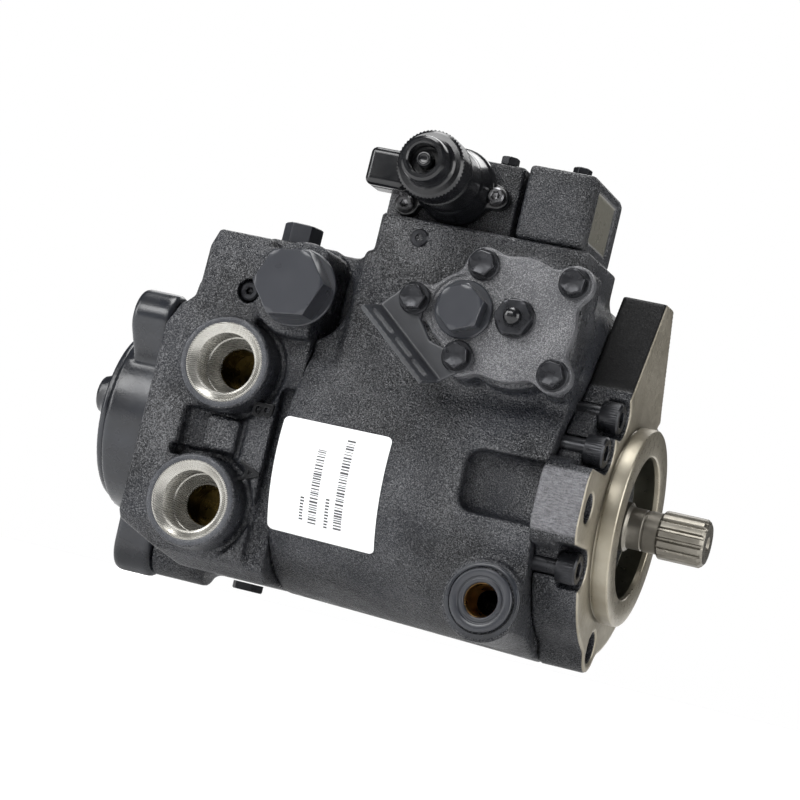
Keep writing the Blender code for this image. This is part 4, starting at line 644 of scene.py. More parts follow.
# Every sand_paint look here carries painted highlights, as pale flecks in its base colour; the servo cover's
# flecks are the palest.
looks = {
    "cast": sand_paint("cast_paint", PAINT_DARK, PAINT_PALE),
    "machined": smooth_paint("machined_paint", (0.010, 0.011, 0.014), (0.021, 0.024, 0.031)),
    "cover": sand_paint("servo_cover_paint", (0.052, 0.053, 0.058), (0.074, 0.075, 0.082), 0.7,
                        0.35, (0.28, 0.34), (0.17, 0.17, 0.18)),
    "control": control_look(),
    "flange": flange_look(),
    "pilot": turned_metal("pilot_iron", "X", (0, 0, 0), (0.24, 0.215, 0.165), (0.36, 0.33, 0.265), 0.35,
                          (0.26, 0.42), 0.02, 0.75),
    # The well's iron is a darker copy of the pilot iron: painted shade inside the recess.
    "well": turned_metal("pilot_well", "X", (0, 0, 0), (0.10, 0.098, 0.075), (0.17, 0.165, 0.13)),
    "shaft": turned_metal("shaft_steel", "X", (0, 0, 0), (0.13, 0.12, 0.10), (0.24, 0.225, 0.195), 0.5,
                          (0.26, 0.42), 0.02, 0.85),
    "steel": plain_metal("steel", (0.42, 0.42, 0.42), (0.58, 0.58, 0.58)),
    "iron": plain_metal("inner_iron", (0.26, 0.25, 0.23), (0.40, 0.385, 0.35), (0.35, 0.5)),
    "oxide": plain_metal("black_oxide", (0.010, 0.0105, 0.013), (0.026, 0.027, 0.031), (0.24, 0.38), 0.04,
                         0.5),
    "plug": smooth_paint("plug_satin", (0.026, 0.028, 0.034), (0.033, 0.035, 0.042), (0.27, 0.31), 0.008),
    "bracket": smooth_paint("bracket_grey", (0.024, 0.025, 0.029), (0.036, 0.038, 0.043), (0.30, 0.38), 0.02),
    "bronze": plain_metal("bronze", (0.46, 0.27, 0.10), (0.62, 0.40, 0.17)),
    "polymer": smooth_paint("black_polymer", (0.004, 0.0042, 0.005), (0.008, 0.0085, 0.010), (0.16, 0.26),
                            0.03),
    "rubber": smooth_paint("seal_rubber", (0.010, 0.010, 0.010), (0.02, 0.02, 0.02), (0.45, 0.6), 0.06),
}


def dress(obj, look, body="pump", hides=()):
    """Give a piece its material and body, and hide the CAD nodes it stands for."""
    obj.data.materials.clear()
    obj.data.materials.append(looks[look].material)
    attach(obj, body)
    if hides:
        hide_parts(*hides)
    return obj


# ---- castings ----

BARREL_R = 77.0
BARREL_REAR_R = 72.5
CAVITY_R = 56.0
SEAM_FRONT = high("main_housing", 0)
SEAM_REAR = low("main_housing", 0)
SERVO = (-55.0, 81.0)
SERVO_FACE = low("main_housing", 1)
SERVO_BORE_R = 24.1
PLUG_LOBE = (-80.0, 80.5)
COVER_BOLTS = ((-105.0, 81.0), (-75.5, 104.2), (-28.9, 103.7), (-29.0, 57.9), (-76.8, 57.2))
DRAIN = (-40.7, -54.7)
DRAIN_FACE = -76.0
PAD_TOP = high("main_housing", 2)
FLANGE_HOLES = (-73.0, 73.0)
LUG_Z = -64.0
SCREW_CIRCLE = 64.5
SCREW_ANGLES = [math.radians(a) for a in (131.5, 153.0, 207.0, 333.0, 27.0, 48.5)]
SCREWS = [(SCREW_CIRCLE * math.cos(a), SCREW_CIRCLE * math.sin(a)) for a in SCREW_ANGLES]


def housing_field(x, y, z):
    """Barrel, servo boss, control pad, drain boss and bolt pockets."""
    body = cone(x, y, z, "X", (0, 0), SEAM_REAR, SEAM_FRONT, BARREL_REAR_R, BARREL_R, 0.5)
    boss = post(x, y, z, "Y", SERVO, 33.0, SERVO_FACE, 74.0, 1.5)
    boss = join(boss, post(x, y, z, "Y", PLUG_LOBE, 20.0, SERVO_FACE, 0.0, 1.5), 3)
    for bolt in COVER_BOLTS:
        boss = join(boss, post(x, y, z, "Y", bolt, 9.5, SERVO_FACE, SERVO_FACE + 26, 1.5), 3)
    body = join(body, boss, 9)
    pad = brick(x, y, z, (-147, -60, 40), (-33, 5, 105), 3)
    pad = join(pad, brick(x, y, z, (-143, -60, 60), (-33, 5, PAD_TOP), 2), 2)
    body = join(body, pad, 6)
    body = join(body, brick(x, y, z, (-170, -56, 50), (-140, 0, 100), 5), 7)
    body = join(body, post(x, y, z, "Y", DRAIN, 20.4, DRAIN_FACE, -20, 1.2), 4)
    for side in (-1, 1):
        lows, highs = sorted((side * 62.0, side * 120.0))
        body = carve(body, brick(x, y, z, (-65, lows, -14), (-10, highs, 17.5), 8), 2.5)
    dish = np.sqrt((x + 40) ** 2 + (y + 104) ** 2 + ((z - 30) * 1.5) ** 2) - 31.0
    body = carve(body, dish, 5)
    body = meet(body, np.maximum(SEAM_REAR - x, x - SEAM_FRONT), 0.8)
    body = meet(body, np.maximum(SERVO_FACE - y, y - 76.9), 0.8)
    body = carve(body, post(x, y, z, "X", (0, 0), CAVITY_R, SEAM_REAR - 9, SEAM_FRONT + 9), 0.5)
    body = carve(body, post(x, y, z, "Y", SERVO, SERVO_BORE_R, SERVO_FACE - 9, 60.0), 0.5)
    body = carve(body, brick(x, y, z, (-73, -22, 30), (-38, 22, 66), 1), 0.5)
    body = carve(body, post(x, y, z, "Y", DRAIN, 13.3, DRAIN_FACE - 9, -20.0), 0.5)
    body = carve(body, post(x, y, z, "Y", PLUG_LOBE, 9.3, SERVO_FACE - 9, SERVO_FACE + 18), 0.5)
    relief = post(x, y, z, "Y", (-174.3, 77.3), 25.5, -90, -28.5)
    return carve(body, relief, 0.8)


def cover_flat(y, z):
    """Outline of the front cover: disc, ears, lug and tower."""
    flat = np.hypot(y, z) - 68.5
    ears = np.hypot(np.maximum(np.abs(y) - 73, 0), np.maximum(np.abs(z) - 7.5, 0)) - 14.46
    flat = join(flat, ears, 5)
    flat = join(flat, bar(y, z, (0, -40), (0, LUG_Z), 12.98), 5)
    tower = flat_shape(y, z, [(-7, 112), (7, 112), (35, 60), (42, 30), (42, 0), (-42, 0), (-42, 30),
                              (-35, 60)]) - 2
    return join(flat, tower, 6)


def front_cover_field(x, y, z):
    """Flange plate with its holes and screw pockets, and the seat of the cradle behind."""
    body = push(x, -24.0, 0.0, cover_flat(y, z), 0.8)
    boss = post(x, y, z, "X", (0, 0), 55.7, -66.0, -20.0)
    boss = carve(boss, post(x, y, z, "Z", (-92.0, 0), 50.95, -120, 120), 0.4)
    boss = carve(boss, brick(x, y, z, (-70, -22, 28), (-38, 22, 80)), 0.4)
    body = join(body, boss, 0.5)
    body = carve(body, post(x, y, z, "X", (0, 0), 47.0, -4.0, 9), 0.4)
    body = carve(body, post(x, y, z, "X", (0, 0), 20.2, -20, 9), 0.4)
    body = carve(body, post(x, y, z, "X", (0, 0), 30.4, -99, -14), 0.4)
    for hole_y in FLANGE_HOLES:
        body = carve(body, post(x, y, z, "X", (hole_y, 0), 7.4, -40, 9), 0.8)
    body = carve(body, post(x, y, z, "X", (0, LUG_Z), 8.0, -40, 9), 0.8)
    for sy, sz in SCREWS:
        out = math.copysign(21.0, sy)
        pocket = bar(y, z, (sy, sz), (sy + out, sz), 10.4)
        body = carve(body, push(x, -12.0, 9, pocket, 2.0), 1.2)
        body = carve(body, post(x, y, z, "X", (sy, sz), 5.4, -40, 9), 0.4)
    return body


END_OUTLINE = [(-241.0, -56.0), (-241.0, 46.0), (-236.0, 56.0), (-229.0, 63.0), (-227.5, 72.0),
               (-227.0, 101.0),
               (-198.0, 101.0), (-196.0, 96.0), (-150.0, 96.0), (-150.0, -72.5), (-212.0, -72.5)]
END_SECTION = [(-66.0, -52.0), (-52.0, -66.0), (-38.0, -72.5), (34.0, -72.5), (62.0, -46.0),
               (62.0, 60.0), (30.0, 101.0), (-58.0, 101.0), (-66.0, 90.0)]
STRIP = [(-186.0, -90.0), (-186.0, 53.0), (-150.0, 53.0), (-150.0, -90.0)]
END_FRONT = -163.3
PORTS = {"b": (-202.0, 32.3), "a": (-202.0, -39.4)}
PORT_FACE = -72.0
RELIEF = (-174.3, 77.3)
RELIEF_FACE = -66.5
CHARGE_EARS = ((-45.0, 49.0), (5.0, -67.0), (57.0, 26.0))


def shrink(corners, size):
    """Polygon with every edge moved inward by size."""
    corners = [np.array(c, float) for c in corners]
    turn = sum(a[0] * b[1] - a[1] * b[0] for a, b in zip(corners, corners[1:] + corners[:1]))
    done = []
    for before, here, after in zip(corners[-1:] + corners[:-1], corners, corners[1:] + corners[:1]):
        normals = []
        for a, b in ((before, here), (here, after)):
            edge = (b - a) / np.hypot(*(b - a))
            normals.append(np.array((-edge[1], edge[0])) * math.copysign(1, turn))
        done.append(tuple(here + (normals[0] + normals[1]) * size / (1 + normals[0] @ normals[1])))
    return done


def rounded(u, v, corners, size):
    """Polygon field with its outer corners rounded."""
    return flat_shape(u, v, shrink(corners, size)) - size


def end_cover_field(x, y, z):
    """Port block: bosses, valley, recess, upper blocks and screw ears."""
    body = push(y, -66.0, 62.0, rounded(x, z, END_OUTLINE, 1.6), 1.2)
    body = meet(body, rounded(y, z, END_SECTION, 3.0), 2.0)
    for y0, z0 in CHARGE_EARS:
        ear = push(x, -241.0, -211.0, bar(y, z, (y0 / 2, z0 / 2), (y0, z0), 12.5), 1.5)
        body = join(body, ear, 4)
    strip = push(y, -99.0, -59.0, rounded(x, z, STRIP, 4.0), 2.0)
    body = carve(body, strip, 3)
    body = carve(body, brick(x, y, z, (-173, -90, -70), (-150, -51, 27), 3), 2)
    recess = brick(x, y, z, (-219, -90, -15), (-186, -57, 8), 3)
    body = carve(body, recess, 2)
    block = brick(x, y, z, (-207, -63, -12), (-189, -40, 6), 2)
    body = join(body, block, 1.5)
    body = carve(body, brick(x, y, z, (-222, -90, -18), (-192, -54, -12.5), 1.5), 1.5)
    for px, pz in PORTS.values():
        around = push(y, -99.0, -53.0, np.hypot(x - px, z - pz) - 28.0, 3)
        right = meet(around, -(x - px - 8), 4)
        body = carve(body, right, 3)
        body = join(body, post(x, y, z, "Y", (px, pz), 24.0, PORT_FACE, -30, 0.8), 2.2)
    body = join(body, post(x, y, z, "Y", RELIEF, 24.0, RELIEF_FACE, -30, 1.5), 4)
    body = join(body, brick(x, y, z, (-209, -33, 80), (-170, -6, 104.5), 2), 3)
    for px, pz in PORTS.values():
        body = carve(body, post(x, y, z, "Y", (px, pz), 21.0, PORT_FACE - 9, PORT_FACE + 44), 0.4)
    body = carve(body, post(x, y, z, "Y", RELIEF, 13.3, -80, RELIEF_FACE + 24.3), 0.4)
    body = carve(body, post(x, y, z, "Y", (-200.5, 71.0), 6.2, -80, -55.5), 0.6)
    body = carve(body, post(x, y, z, "Z", (-196.5, -20.0), 6.3, 90, 120), 0.4)
    body = carve(body, post(x, y, z, "Z", (-186.5, 0.0), 5.3, -90, -56.2), 0.4)
    body = carve(body, post(x, y, z, "X", (0, 0), 12.9, -260, -150), 0.4)
    for ear in CHARGE_EARS:
        body = carve(body, post(x, y, z, "X", ear, 5.3, -260, -216.7), 0.3)
    return meet(body, x - END_FRONT, 0.8)


def charge_flat(y, z, ear_r, body_r, neck):
    """Outline of the charge pump: disc with three ears on necks."""
    flat = np.hypot(y, z) - body_r
    for y0, z0 in CHARGE_EARS:
        flat = join(flat, bar(y, z, (y0 / 2, z0 / 2), (y0, z0), ear_r), neck)
    return flat


def charge_housing_field(x, y, z):
    """Charge pump housing with ears that step down behind their tips."""
    body = push(x, -268.0, -241.3, np.hypot(y, z) - 50.0, 2.5)
    body = join(body, push(x, -263.0, -241.3, charge_flat(y, z, 14.5, 44.0, 9), 3.5), 3)
    for ear in CHARGE_EARS:
        body = carve(body, post(x, y, z, "X", ear, 8.6, -290, -255), 0.8)
        body = carve(body, post(x, y, z, "X", ear, 5.4, -290, -200), 0.4)
    body = carve(body, post(x, y, z, "X", (0, 2.1), 30.3, -290, -254.0 + 0.3), 0.4)
    body = carve(body, post(x, y, z, "X", (0, 0), 13.0, -290, -200), 0.4)
    return body


def charge_cover_field(x, y, z):
    """Rear cover with crown and bump."""
    body = push(x, -272.5, -268.3, np.hypot(y, z) - 46.0, 1.5)
    body = join(body, push(x, -276.3, -268.3, np.hypot(y, z) - 38.0, 2.5), 3)
    bump = push(x, -281.3, -268.3, np.hypot(y + 28, z - 6) - 10.0, 3.0)
    body = join(body, bump, 3)
    return meet(body, x + 268.3, 0.5)


COVER_RINGS = ((-60.0, 95.0, 4.0, 0.3), (-46.0, 68.0, 4.2, 0.3), (-58.5, 64.0, 2.6, 0.25),
               (-39.0, 84.0, 3.4, 0.25))


def servo_cover_field(x, y, z):
    """Lobed cover plate with shallow cast rings on its face."""
    flat = np.hypot(x - SERVO[0], z - SERVO[1]) - 31.0
    flat = join(flat, np.hypot(x - PLUG_LOBE[0], z - PLUG_LOBE[1]) - 19.5, 6)
    for bolt in COVER_BOLTS:
        flat = join(flat, np.hypot(x - bolt[0], z - bolt[1]) - 9.2, 7)
    top = low("servo_cover", 1)
    body = push(y, top, high("servo_cover", 1), flat, 1.3)
    for u, v, size, wide in COVER_RINGS:
        ring = np.maximum(np.abs(np.hypot(x - u, z - v) - size) - wide, y - top - 0.25)
        body = carve(body, ring, 0.35)
    groove = np.maximum(np.abs(np.hypot(x - PLUG_LOBE[0], z - PLUG_LOBE[1]) - 16.6) - 0.7, y - top - 0.7)
    body = carve(body, meet(groove, x - PLUG_LOBE[0] + 2, 1), 0.4)
    for bolt in COVER_BOLTS:
        body = carve(body, post(x, y, z, "Y", bolt, 4.4, top - 9, top + 20), 0.3)
    return body


def control_field(x, y, z):
    """Control housing: valve block, groove and cast block with a recess for a plate."""
    z0, z1 = low("control_housing", 2), high("control_housing", 2)
    left = brick(x, y, z, (-146, -46, z0), (-79, 5, z1), 1.6)
    web = brick(x, y, z, (-84, -34, z0), (-68, 5, z1 - 1.5), 1.5)
    right = brick(x, y, z, (-73, -60, z0), (-38, 5, z1), 2.6)
    body = join(join(left, web, 1.5), right, 1.5)
    back = np.hypot(np.maximum(y + 4, 0), np.maximum(z - z1 + 9, 0)) - 9.0
    body = meet(body, np.where(z > z1 - 9, back, -1.0), 0.5)
    body = carve(body, brick(x, y, z, (-39.2, -48, 131), (-30, -6, 157), 1.0), 0.6)
    return carve(body, post(x, y, z, "Y", (-110.3, 145.7), 5.15, -80, -4.9), 0.3)


def make_castings():
    """All bodies that come out of a mould."""
    plans = [
        ("housing_casting", housing_field, (-163, -80, -77), (-24.3, 77, 125), 1.2, "cast",
         ("main_housing",)),
        ("front_cover_casting", front_cover_field, (-66, -87.5, -77), (0, 87.5, 114), 1.1, "flange",
         ("front_cover",)),
        ("end_cover_casting", end_cover_field, (-241, -72, -80), (-163.3, 69.5, 104.5), 1.1, "cast",
         ("end_cover",)),
        ("charge_housing_casting", charge_housing_field, (-268, -60, -82), (-241.3, 72, 64), 1.2, "machined",
         ("charge_pump_housing",)),
        ("charge_cover_casting", charge_cover_field, (-281.3, -46, -46), (-268.3, 46, 46), 1.0, "machined",
         ("charge_pump_cover",)),
        ("servo_cover_plate", servo_cover_field, (-116, -88.3, 46), (-18, -80.3, 115), 0.7, "cover",
         ("servo_cover",)),
        ("control_casting", control_field, (-146, -60, 125.3), (-38, 5, 163), 0.9, "control",
         ("control_housing",)),
    ]
    for name, field, lows, highs, step, look, hides in plans:
        dress(cast(name, field, lows, highs, step), look, "pump", hides)


make_castings()


# ---- turned, hexagonal and splined pieces ----

THREAD_PITCH = 1.6


def threads(start, stop, crest, root):
    """Profile of a fine thread along a bore, as (radius, station) points."""
    points = []
    turns = int(abs(stop - start) / THREAD_PITCH)
    step = (stop - start) / turns
    for k in range(turns):
        points += [(crest, start + step * (k + 0.1)), (root, start + step * (k + 0.55))]
    return points + [(crest, stop)]


def make_port(name, centre):
    """Machined insert of a working port: spot face, mouth, thread, seat and core."""
    face = PORT_FACE - 0.05
    spot = [(23.3, face + 1.2), (23.3, face + 0.5), (22.8, face), (20.6, face), (20.2, face + 0.5),
            (20.2, face + 6), (22.0, face + 6)]
    ring = turned("port_%s_spot_face" % name, "Y", centre, spot, 120, 0.15, closed=True)
    dress(ring, "boss")
    mouth = [(20.4, face + 0.3), (19.4, face + 0.2), (18.9, face + 0.7), (16.6, face + 2.6),
             (16.1, face + 2.8)]
    bore = threads(face + 3.0, face + 17.4, 15.35, 16.05)
    seat = [(15.9, face + 17.8), (15.9, face + 18.6), (15.0, face + 18.9), (11.4, face + 24.5),
            (10.6, face + 25.0), (10.5, face + 43.8), (20.6, face + 43.8)]
    sleeve = turned("port_%s_thread" % name, "Y", centre, mouth + bore + seat, 160, 0.08, closed=True)
    dress(sleeve, "thread")
    # The core's metal is nearly black: painted shade deep in the bore, over a brassy tone.
    deep = [(10.4, face + 26.0), (10.4, face + 43.0), (0, face + 43.0), (0, face + 43.6), (10.6, face + 43.6),
            (10.6, face + 26.0)]
    dress(turned("port_%s_core" % name, "Y", centre, deep, 72, 0.05, closed=True), "shaded_core")


def make_pilot():
    """Bare pilot ring with its groove, and the well inside it, whose iron is darker as painted shade."""
    ring = [(37.0, -5.0), (37.0, 8.9), (37.6, 9.5), (50.1, 9.5), (50.8, 8.8), (50.8, 1.8), (48.9, 1.4),
            (48.8, 0.2), (49.6, -0.6), (47.0, -5.0)]
    dress(turned("pilot_ring", "X", (0, 0), ring, 180, 0.12, closed=True), "pilot")
    # The well carries the darker iron, painted shade inside the recess.
    floor = [(20.1, -4.6), (21.0, -5.0), (30.0, -5.0), (31.0, -4.2), (36.9, -4.0), (36.9, 6.8), (36.9, 6.9),
             (36.97, 6.9), (36.97, -4.6)]
    dress(turned("pilot_well", "X", (0, 0), floor, 144, 0.05, closed=True), "well")


def spline_radius(count, tip, root):
    """Radius round a splined section with flat tips and roots."""
    share = (np.arange(count) * SPLINE_TEETH / count) % 1.0
    level = np.clip((share - 0.22) / 0.12, 0, 1) * np.clip((0.98 - share) / 0.12, 0, 1)
    return root + (tip - root) * np.clip(level, 0, 1)


SPLINE_TEETH = 15


def make_shaft():
    """Drive shaft: tail, seats, collar, turned neck and splined end."""
    count = 300
    end = high("drive_shaft", 0)
    plain = [(0.01, -266), (9.6, -266), (10.0, -265.5), (10.0, -241), (12.4, -240.6), (12.4, -31),
             (14.9, -30.6), (14.9, -14), (12.4, -13.6), (12.4, -5), (16.2, -4.7), (16.5, -4.4), (16.5, -2.5),
             (16.2, -2.2), (12.6, -2.0), (12.6, 4.6), (11.9, 5.2), (10.9, 6.0), (10.6, 6.8), (10.6, 13.0),
             (10.2, 13.4), (10.2, 14.2), (10.6, 14.6), (10.6, 21.0)]
    rings = [hoop("X", (0, 0), station, radius, count) for radius, station in plain]
    for station, tip in ((21.4, 10.7), (22.8, 12.45), (end - 2.2, 12.45), (end - 0.9, 11.6)):
        rings.append(hoop("X", (0, 0), station, spline_radius(count, tip, min(10.95, tip)), count))
    rings.append(hoop("X", (0, 0), end, 10.3, count))
    for radius, depth in ((3.9, 0), (2.6, 1.6), (2.6, 7.0), (0.01, 8.0)):
        rings.append(hoop("X", (0, 0), end - depth, radius, count))
    shaft = loft("splined_shaft", rings, sharp=25.0)
    dress(shaft, "shaft", "shaft", ("drive_shaft",))


def make_drain():
    """Case drain fitting with turned rings round a deep bore."""
    front = low("case_drain_fitting", 1)
    back = high("case_drain_fitting", 1)
    face = [(8.4, front + 1.4), (9.0, front + 0.5), (10.6, front + 0.5), (10.9, front + 0.9),
            (11.6, front + 0.9), (11.9, front + 0.1), (14.9, front), (15.6, front + 0.6),
            (15.6, DRAIN_FACE - 0.3), (13.0, DRAIN_FACE - 0.1), (13.0, back)]
    bore = threads(back - 1, front + 3, 8.9, 8.4)
    dress(turned("case_drain_ring", "Y", DRAIN, face + [(8.6, back)] + bore, 96, 0.1, closed=True), "plug",
          "pump", ("case_drain_fitting",))
    rim = [(16.4, DRAIN_FACE - 0.9), (18.0, DRAIN_FACE - 0.9), (18.3, DRAIN_FACE - 0.4),
           (18.9, DRAIN_FACE - 0.4), (18.9, DRAIN_FACE + 0.6), (16.4, DRAIN_FACE + 0.6)]
    dress(turned("case_drain_rim", "Y", DRAIN, rim, 96, 0.2, closed=True), "machined", "pump")
    gold = [(8.35, front + 3.2), (7.9, back - 5), (6.2, back - 1), (6.2, back - 0.3), (8.6, back - 0.3),
            (8.6, front + 3.2)]
    dress(turned("case_drain_bore", "Y", DRAIN, gold, 72, 0.02, closed=True), "bronze", "pump")


def make_plugs():
    """Hexagon plugs of the end cover and the two flush socket plugs."""
    seat = RELIEF_FACE - 0.3
    relief = hex_head("high_pressure_plug_head", "Y", RELIEF, seat, -1, 18.9, 18.0, (20.0, 2.2),
                      math.radians(8))
    dress(relief, "plug", "pump", ("high_pressure_plug",))
    x, y, _ = middle("top_plug")
    top = hex_head("top_plug_head", "Z", (x, y), 104.8, 1, 10.4, 10.5, None, math.radians(12))
    dress(top, "plug", "pump", ("top_plug",))
    x, y, _ = middle("bottom_plug")
    bottom = hex_head("bottom_plug_head", "Z", (x, y), -72.8, -1, 8.5, 4.0, None)
    dress(bottom, "oxide", "pump", ("bottom_plug",))
    for node, front in (("gauge_plug", low("gauge_plug", 1)), ("transit_plug", -65.0)):
        x, _, z = middle(node)
        back = high(node, 1)
        plug = socket_head(node + "_disc", "Y", (x, z), back, -1, 4.9, back - front, 2.0, 4.0)
        dress(plug, "oxide", "pump", (node,))


def shank(axis, centre, start, stop, radius):
    """Plain round shank of a screw."""
    return turned("shank", axis, centre, [(0.01, start), (radius, start), (radius, stop), (0.01, stop)], 32)


def make_screws():
    """Cap screws of the front cover, with knurled heads and hexagon sockets."""
    for k, (y, z) in enumerate(SCREWS):
        head = socket_head("cover_screw_head_%d" % (k + 1), "X", (y, z), -11.7, 1, 8.0, 10.0, 4.6, 5.0, 96,
                           0.3 * k, 0.16)
        screw = together("cover_screw_%d" % (k + 1), [head, shank("X", (y, z), -45.2, -11.0, 5)])
        dress(screw, "oxide", "pump", ("front_cover_screw_%d" % (k + 1),))


def make_servo_fittings():
    """Bolts, plug and displacement limiter on the servo cover."""
    turns = (10, 52, 25, -8, 40)
    for k, (x, z) in enumerate(COVER_BOLTS):
        node = "servo_cover_bolt_%d" % (k + 1)
        top = low(node, 1)
        seat = top + 6.5
        head = hex_head("head", "Y", (x, z), seat, -1, 6.6, 6.5, (8.0, 1.7), math.radians(turns[k]), 0.5)
        back = high(node, 1)
        bolt = together("flange_bolt_%d" % (k + 1), [head, shank("Y", (x, z), seat - 0.5, back, 4)])
        dress(bolt, "oxide", "pump", (node,))
    seat = low("servo_cover", 1) - 0.3
    plug = hex_head("servo_plug_head", "Y", PLUG_LOBE, seat, -1, 12.4, 10.4, (14.6, 2.2),
                    math.radians(22), round_share=0.9)
    dress(plug, "plug", "pump", ("servo_cover_plug",))
    centre = (-53.9, 81.4)
    nut = hex_head("limiter_nut_body", "Y", centre, seat, -1, 9.8, 6.0, (10.2, 1.0), math.radians(5))
    dress(nut, "oxide", "pump", ("limiter_nut",))
    tip = low("limiter_screw", 1)
    stud = [(0.01, tip), (1.6, tip + 0.1), (3.0, tip + 0.7), (4.1, tip + 1.9), (4.6, tip + 3.6),
            (4.6, tip + 30), (0.01, tip + 30)]
    dress(turned("limiter_stud", "Y", centre, stud, 48, 0.2), "polymer", "pump",
          ("limiter_screw",))


BRACKET = ((-124.0, 74.0), (-84.0, 42.0), (-74.0, 49.5), (-67.5, 57.0), (-73.0, 66.0), (-82.0, 60.5),
           (-92.0, 63.0), (-99.0, 72.0), (-98.0, 87.0), (-106.0, 90.0), (-113.0, 86.0))


def bracket_field(x, y, z):
    """Bent sheet: flat tongue under two bolts and a slotted wing turned outward."""
    back = low("servo_cover", 1) - 0.3
    front = back - 2.4
    flat = flat_shape(x, z, list(BRACKET))
    sheet = push(y, front, back, flat + 0.8, 0.4)
    sheet = meet(sheet, flat, 0.6)
    (ax, az), (bx, bz) = BRACKET[0], BRACKET[1]
    size = math.hypot(bx - ax, bz - az)
    along = ((bx - ax) / size, (bz - az) / size)
    out = (along[1], -along[0])
    spread, drop = 5.0, 18.0
    reach = math.hypot(spread, drop)
    way = (spread / reach, -drop / reach)
    u = (x - ax) * along[0] + (z - az) * along[1]
    side = (x - ax) * out[0] + (z - az) * out[1]
    w = side * way[0] + (y - back) * way[1]
    n = side * -way[1] + (y - back) * way[0]
    wing = np.maximum(np.abs(n + 1.2) - 1.2, np.maximum(np.abs(u - size / 2) - size / 2 + 1,
                                                        np.abs(w - reach / 2) - reach / 2))
    for start, stop in ((0.12, 0.34), (0.48, 0.64), (0.76, 0.88)):
        wing = carve(wing, bar(u, w, (size * start, 11.5), (size * stop, 11.5), 2.6), 0.4)
    body = join(sheet, wing, 1.0)
    for bolt in (COVER_BOLTS[0], COVER_BOLTS[4]):
        body = carve(body, post(x, y, z, "Y", bolt, 4.3, -120, -70), 0.2)
    return body


SOLENOID = (-110.3, 145.7)
SOLENOID_SCREWS = ((-134.0, 132.0), (-88.0, 144.0))


def solenoid_flange_field(x, y, z):
    """Solenoid flange with two ears, flaring into the coil body."""
    flat = np.hypot(x - SOLENOID[0], z - SOLENOID[1]) - 19.5
    for ear in SOLENOID_SCREWS:
        flat = join(flat, np.hypot(x - ear[0], z - ear[1]) - 6.2, 5)
    body = push(y, -53.3, -46.3, flat, 1.0)
    body = join(body, cone(x, y, z, "Y", SOLENOID, -66.0, -50.0, 16.6, 19.8, 1.0), 2.5)
    body = join(body, post(x, y, z, "Y", SOLENOID, 16.6, -85.9, -50, 1.0), 2)
    body = join(body, post(x, y, z, "Y", SOLENOID, 8.0, -98.0, -50, 0.5), 0.5)
    body = carve(body, post(x, y, z, "Y", SOLENOID, 2.8, -120, -60), 0.3)
    body = carve(body, post(x, y, z, "Y", SOLENOID, 5.2, -65.7, -40), 0.3)
    for ear in SOLENOID_SCREWS:
        body = carve(body, post(x, y, z, "Y", ear, 2.9, -60, -40), 0.3)
    return body


def make_knurled_nut():
    """Nut with diamond knurling, two thin rims and a domed cap round a well."""
    count = 110
    rims = [(8.4, -86.3), (16.7, -86.3), (17.2, -86.6), (17.2, -87.2), (16.3, -87.5), (16.3, -88.0),
            (17.2, -88.3), (17.2, -88.9), (16.4, -89.2)]
    rings = [hoop("Y", SOLENOID, station, radius, count) for radius, station in rims]
    rows = 12
    for k in range(rows + 1):
        phase = (np.arange(count) + k) % 2
        rings.append(hoop("Y", SOLENOID, -89.6 - k * 1.0, 16.5 + 0.85 * phase, count))
    plain = [(16.6, -102.0), (15.6, -103.0), (13.2, -103.4), (12.3, -104.4), (11.8, -105.6), (11.8, -113.0),
             (11.2, -115.0), (9.9, -116.0), (8.4, -116.0), (7.6, -115.2), (7.6, -108.3), (7.2, -108.0),
             (4.3, -108.0), (4.3, -98.4), (8.4, -98.4)]
    rings += [hoop("Y", SOLENOID, station, radius, count) for radius, station in plain]
    nut = loft("knurled_nut", rings, closed=True, sharp=28.0)
    dress(nut, "polymer", "pump", ("solenoid_nut",))


def make_button():
    """Manual override button with a ringed face."""
    front = low("override_button", 1)
    back = high("override_button", 1)
    face = [(0.01, front + 0.25), (1.9, front + 0.25), (2.2, front), (3.3, front), (3.9, front + 0.6),
            (3.9, front + 4), (2.6, front + 4.1), (2.6, back), (0.01, back)]
    dress(turned("button_cap", "Y", SOLENOID, face, 64, 0.12), "polymer", "button",
          ("override_button",))


def connector_field(x, y, z):
    """Moulded connector: soft block with a raised lip and a neck towards the coil."""
    lows = [low("solenoid_connector", k) for k in range(3)]
    highs = [high("solenoid_connector", k) for k in range(3)]
    body = brick(x, y, z, lows, highs, 3.4)
    lip = brick(x, y, z, (lows[0] + 2, lows[1] + 6, lows[2] + 1.5),
                (highs[0] - 3, lows[1] + 8.4, highs[2] - 1.5), 1)
    body = carve(body, np.maximum(np.abs(y - lows[1] - 7) - 0.5, -(lip + 1.2)), 0.4)
    return carve(body, post(x, y, z, "Y", SOLENOID, 19.9, -90, -40), 0.3)


def make_solenoid():
    """Solenoid coil, nut, button, connector and flange screws."""
    dress(cast("solenoid_casting", solenoid_flange_field, (-141, -98, 124), (-81, -46, 166), 0.75), "polymer",
          "pump", ("solenoid_body",))
    make_knurled_nut()
    make_button()
    dress(cast("connector_body", connector_field, (-150, -80, 134.5), (-128.5, -58, 154), 0.5), "polymer",
          "pump", ("solenoid_connector",))
    for k, ear in enumerate(SOLENOID_SCREWS):
        screw = socket_head("solenoid_screw_%d" % (k + 1), "Y", ear, -53.4, -1, 4.4, 3.8, 2.2, 2.4, 60, 0.2)
        dress(screw, "steel_dark", "pump")


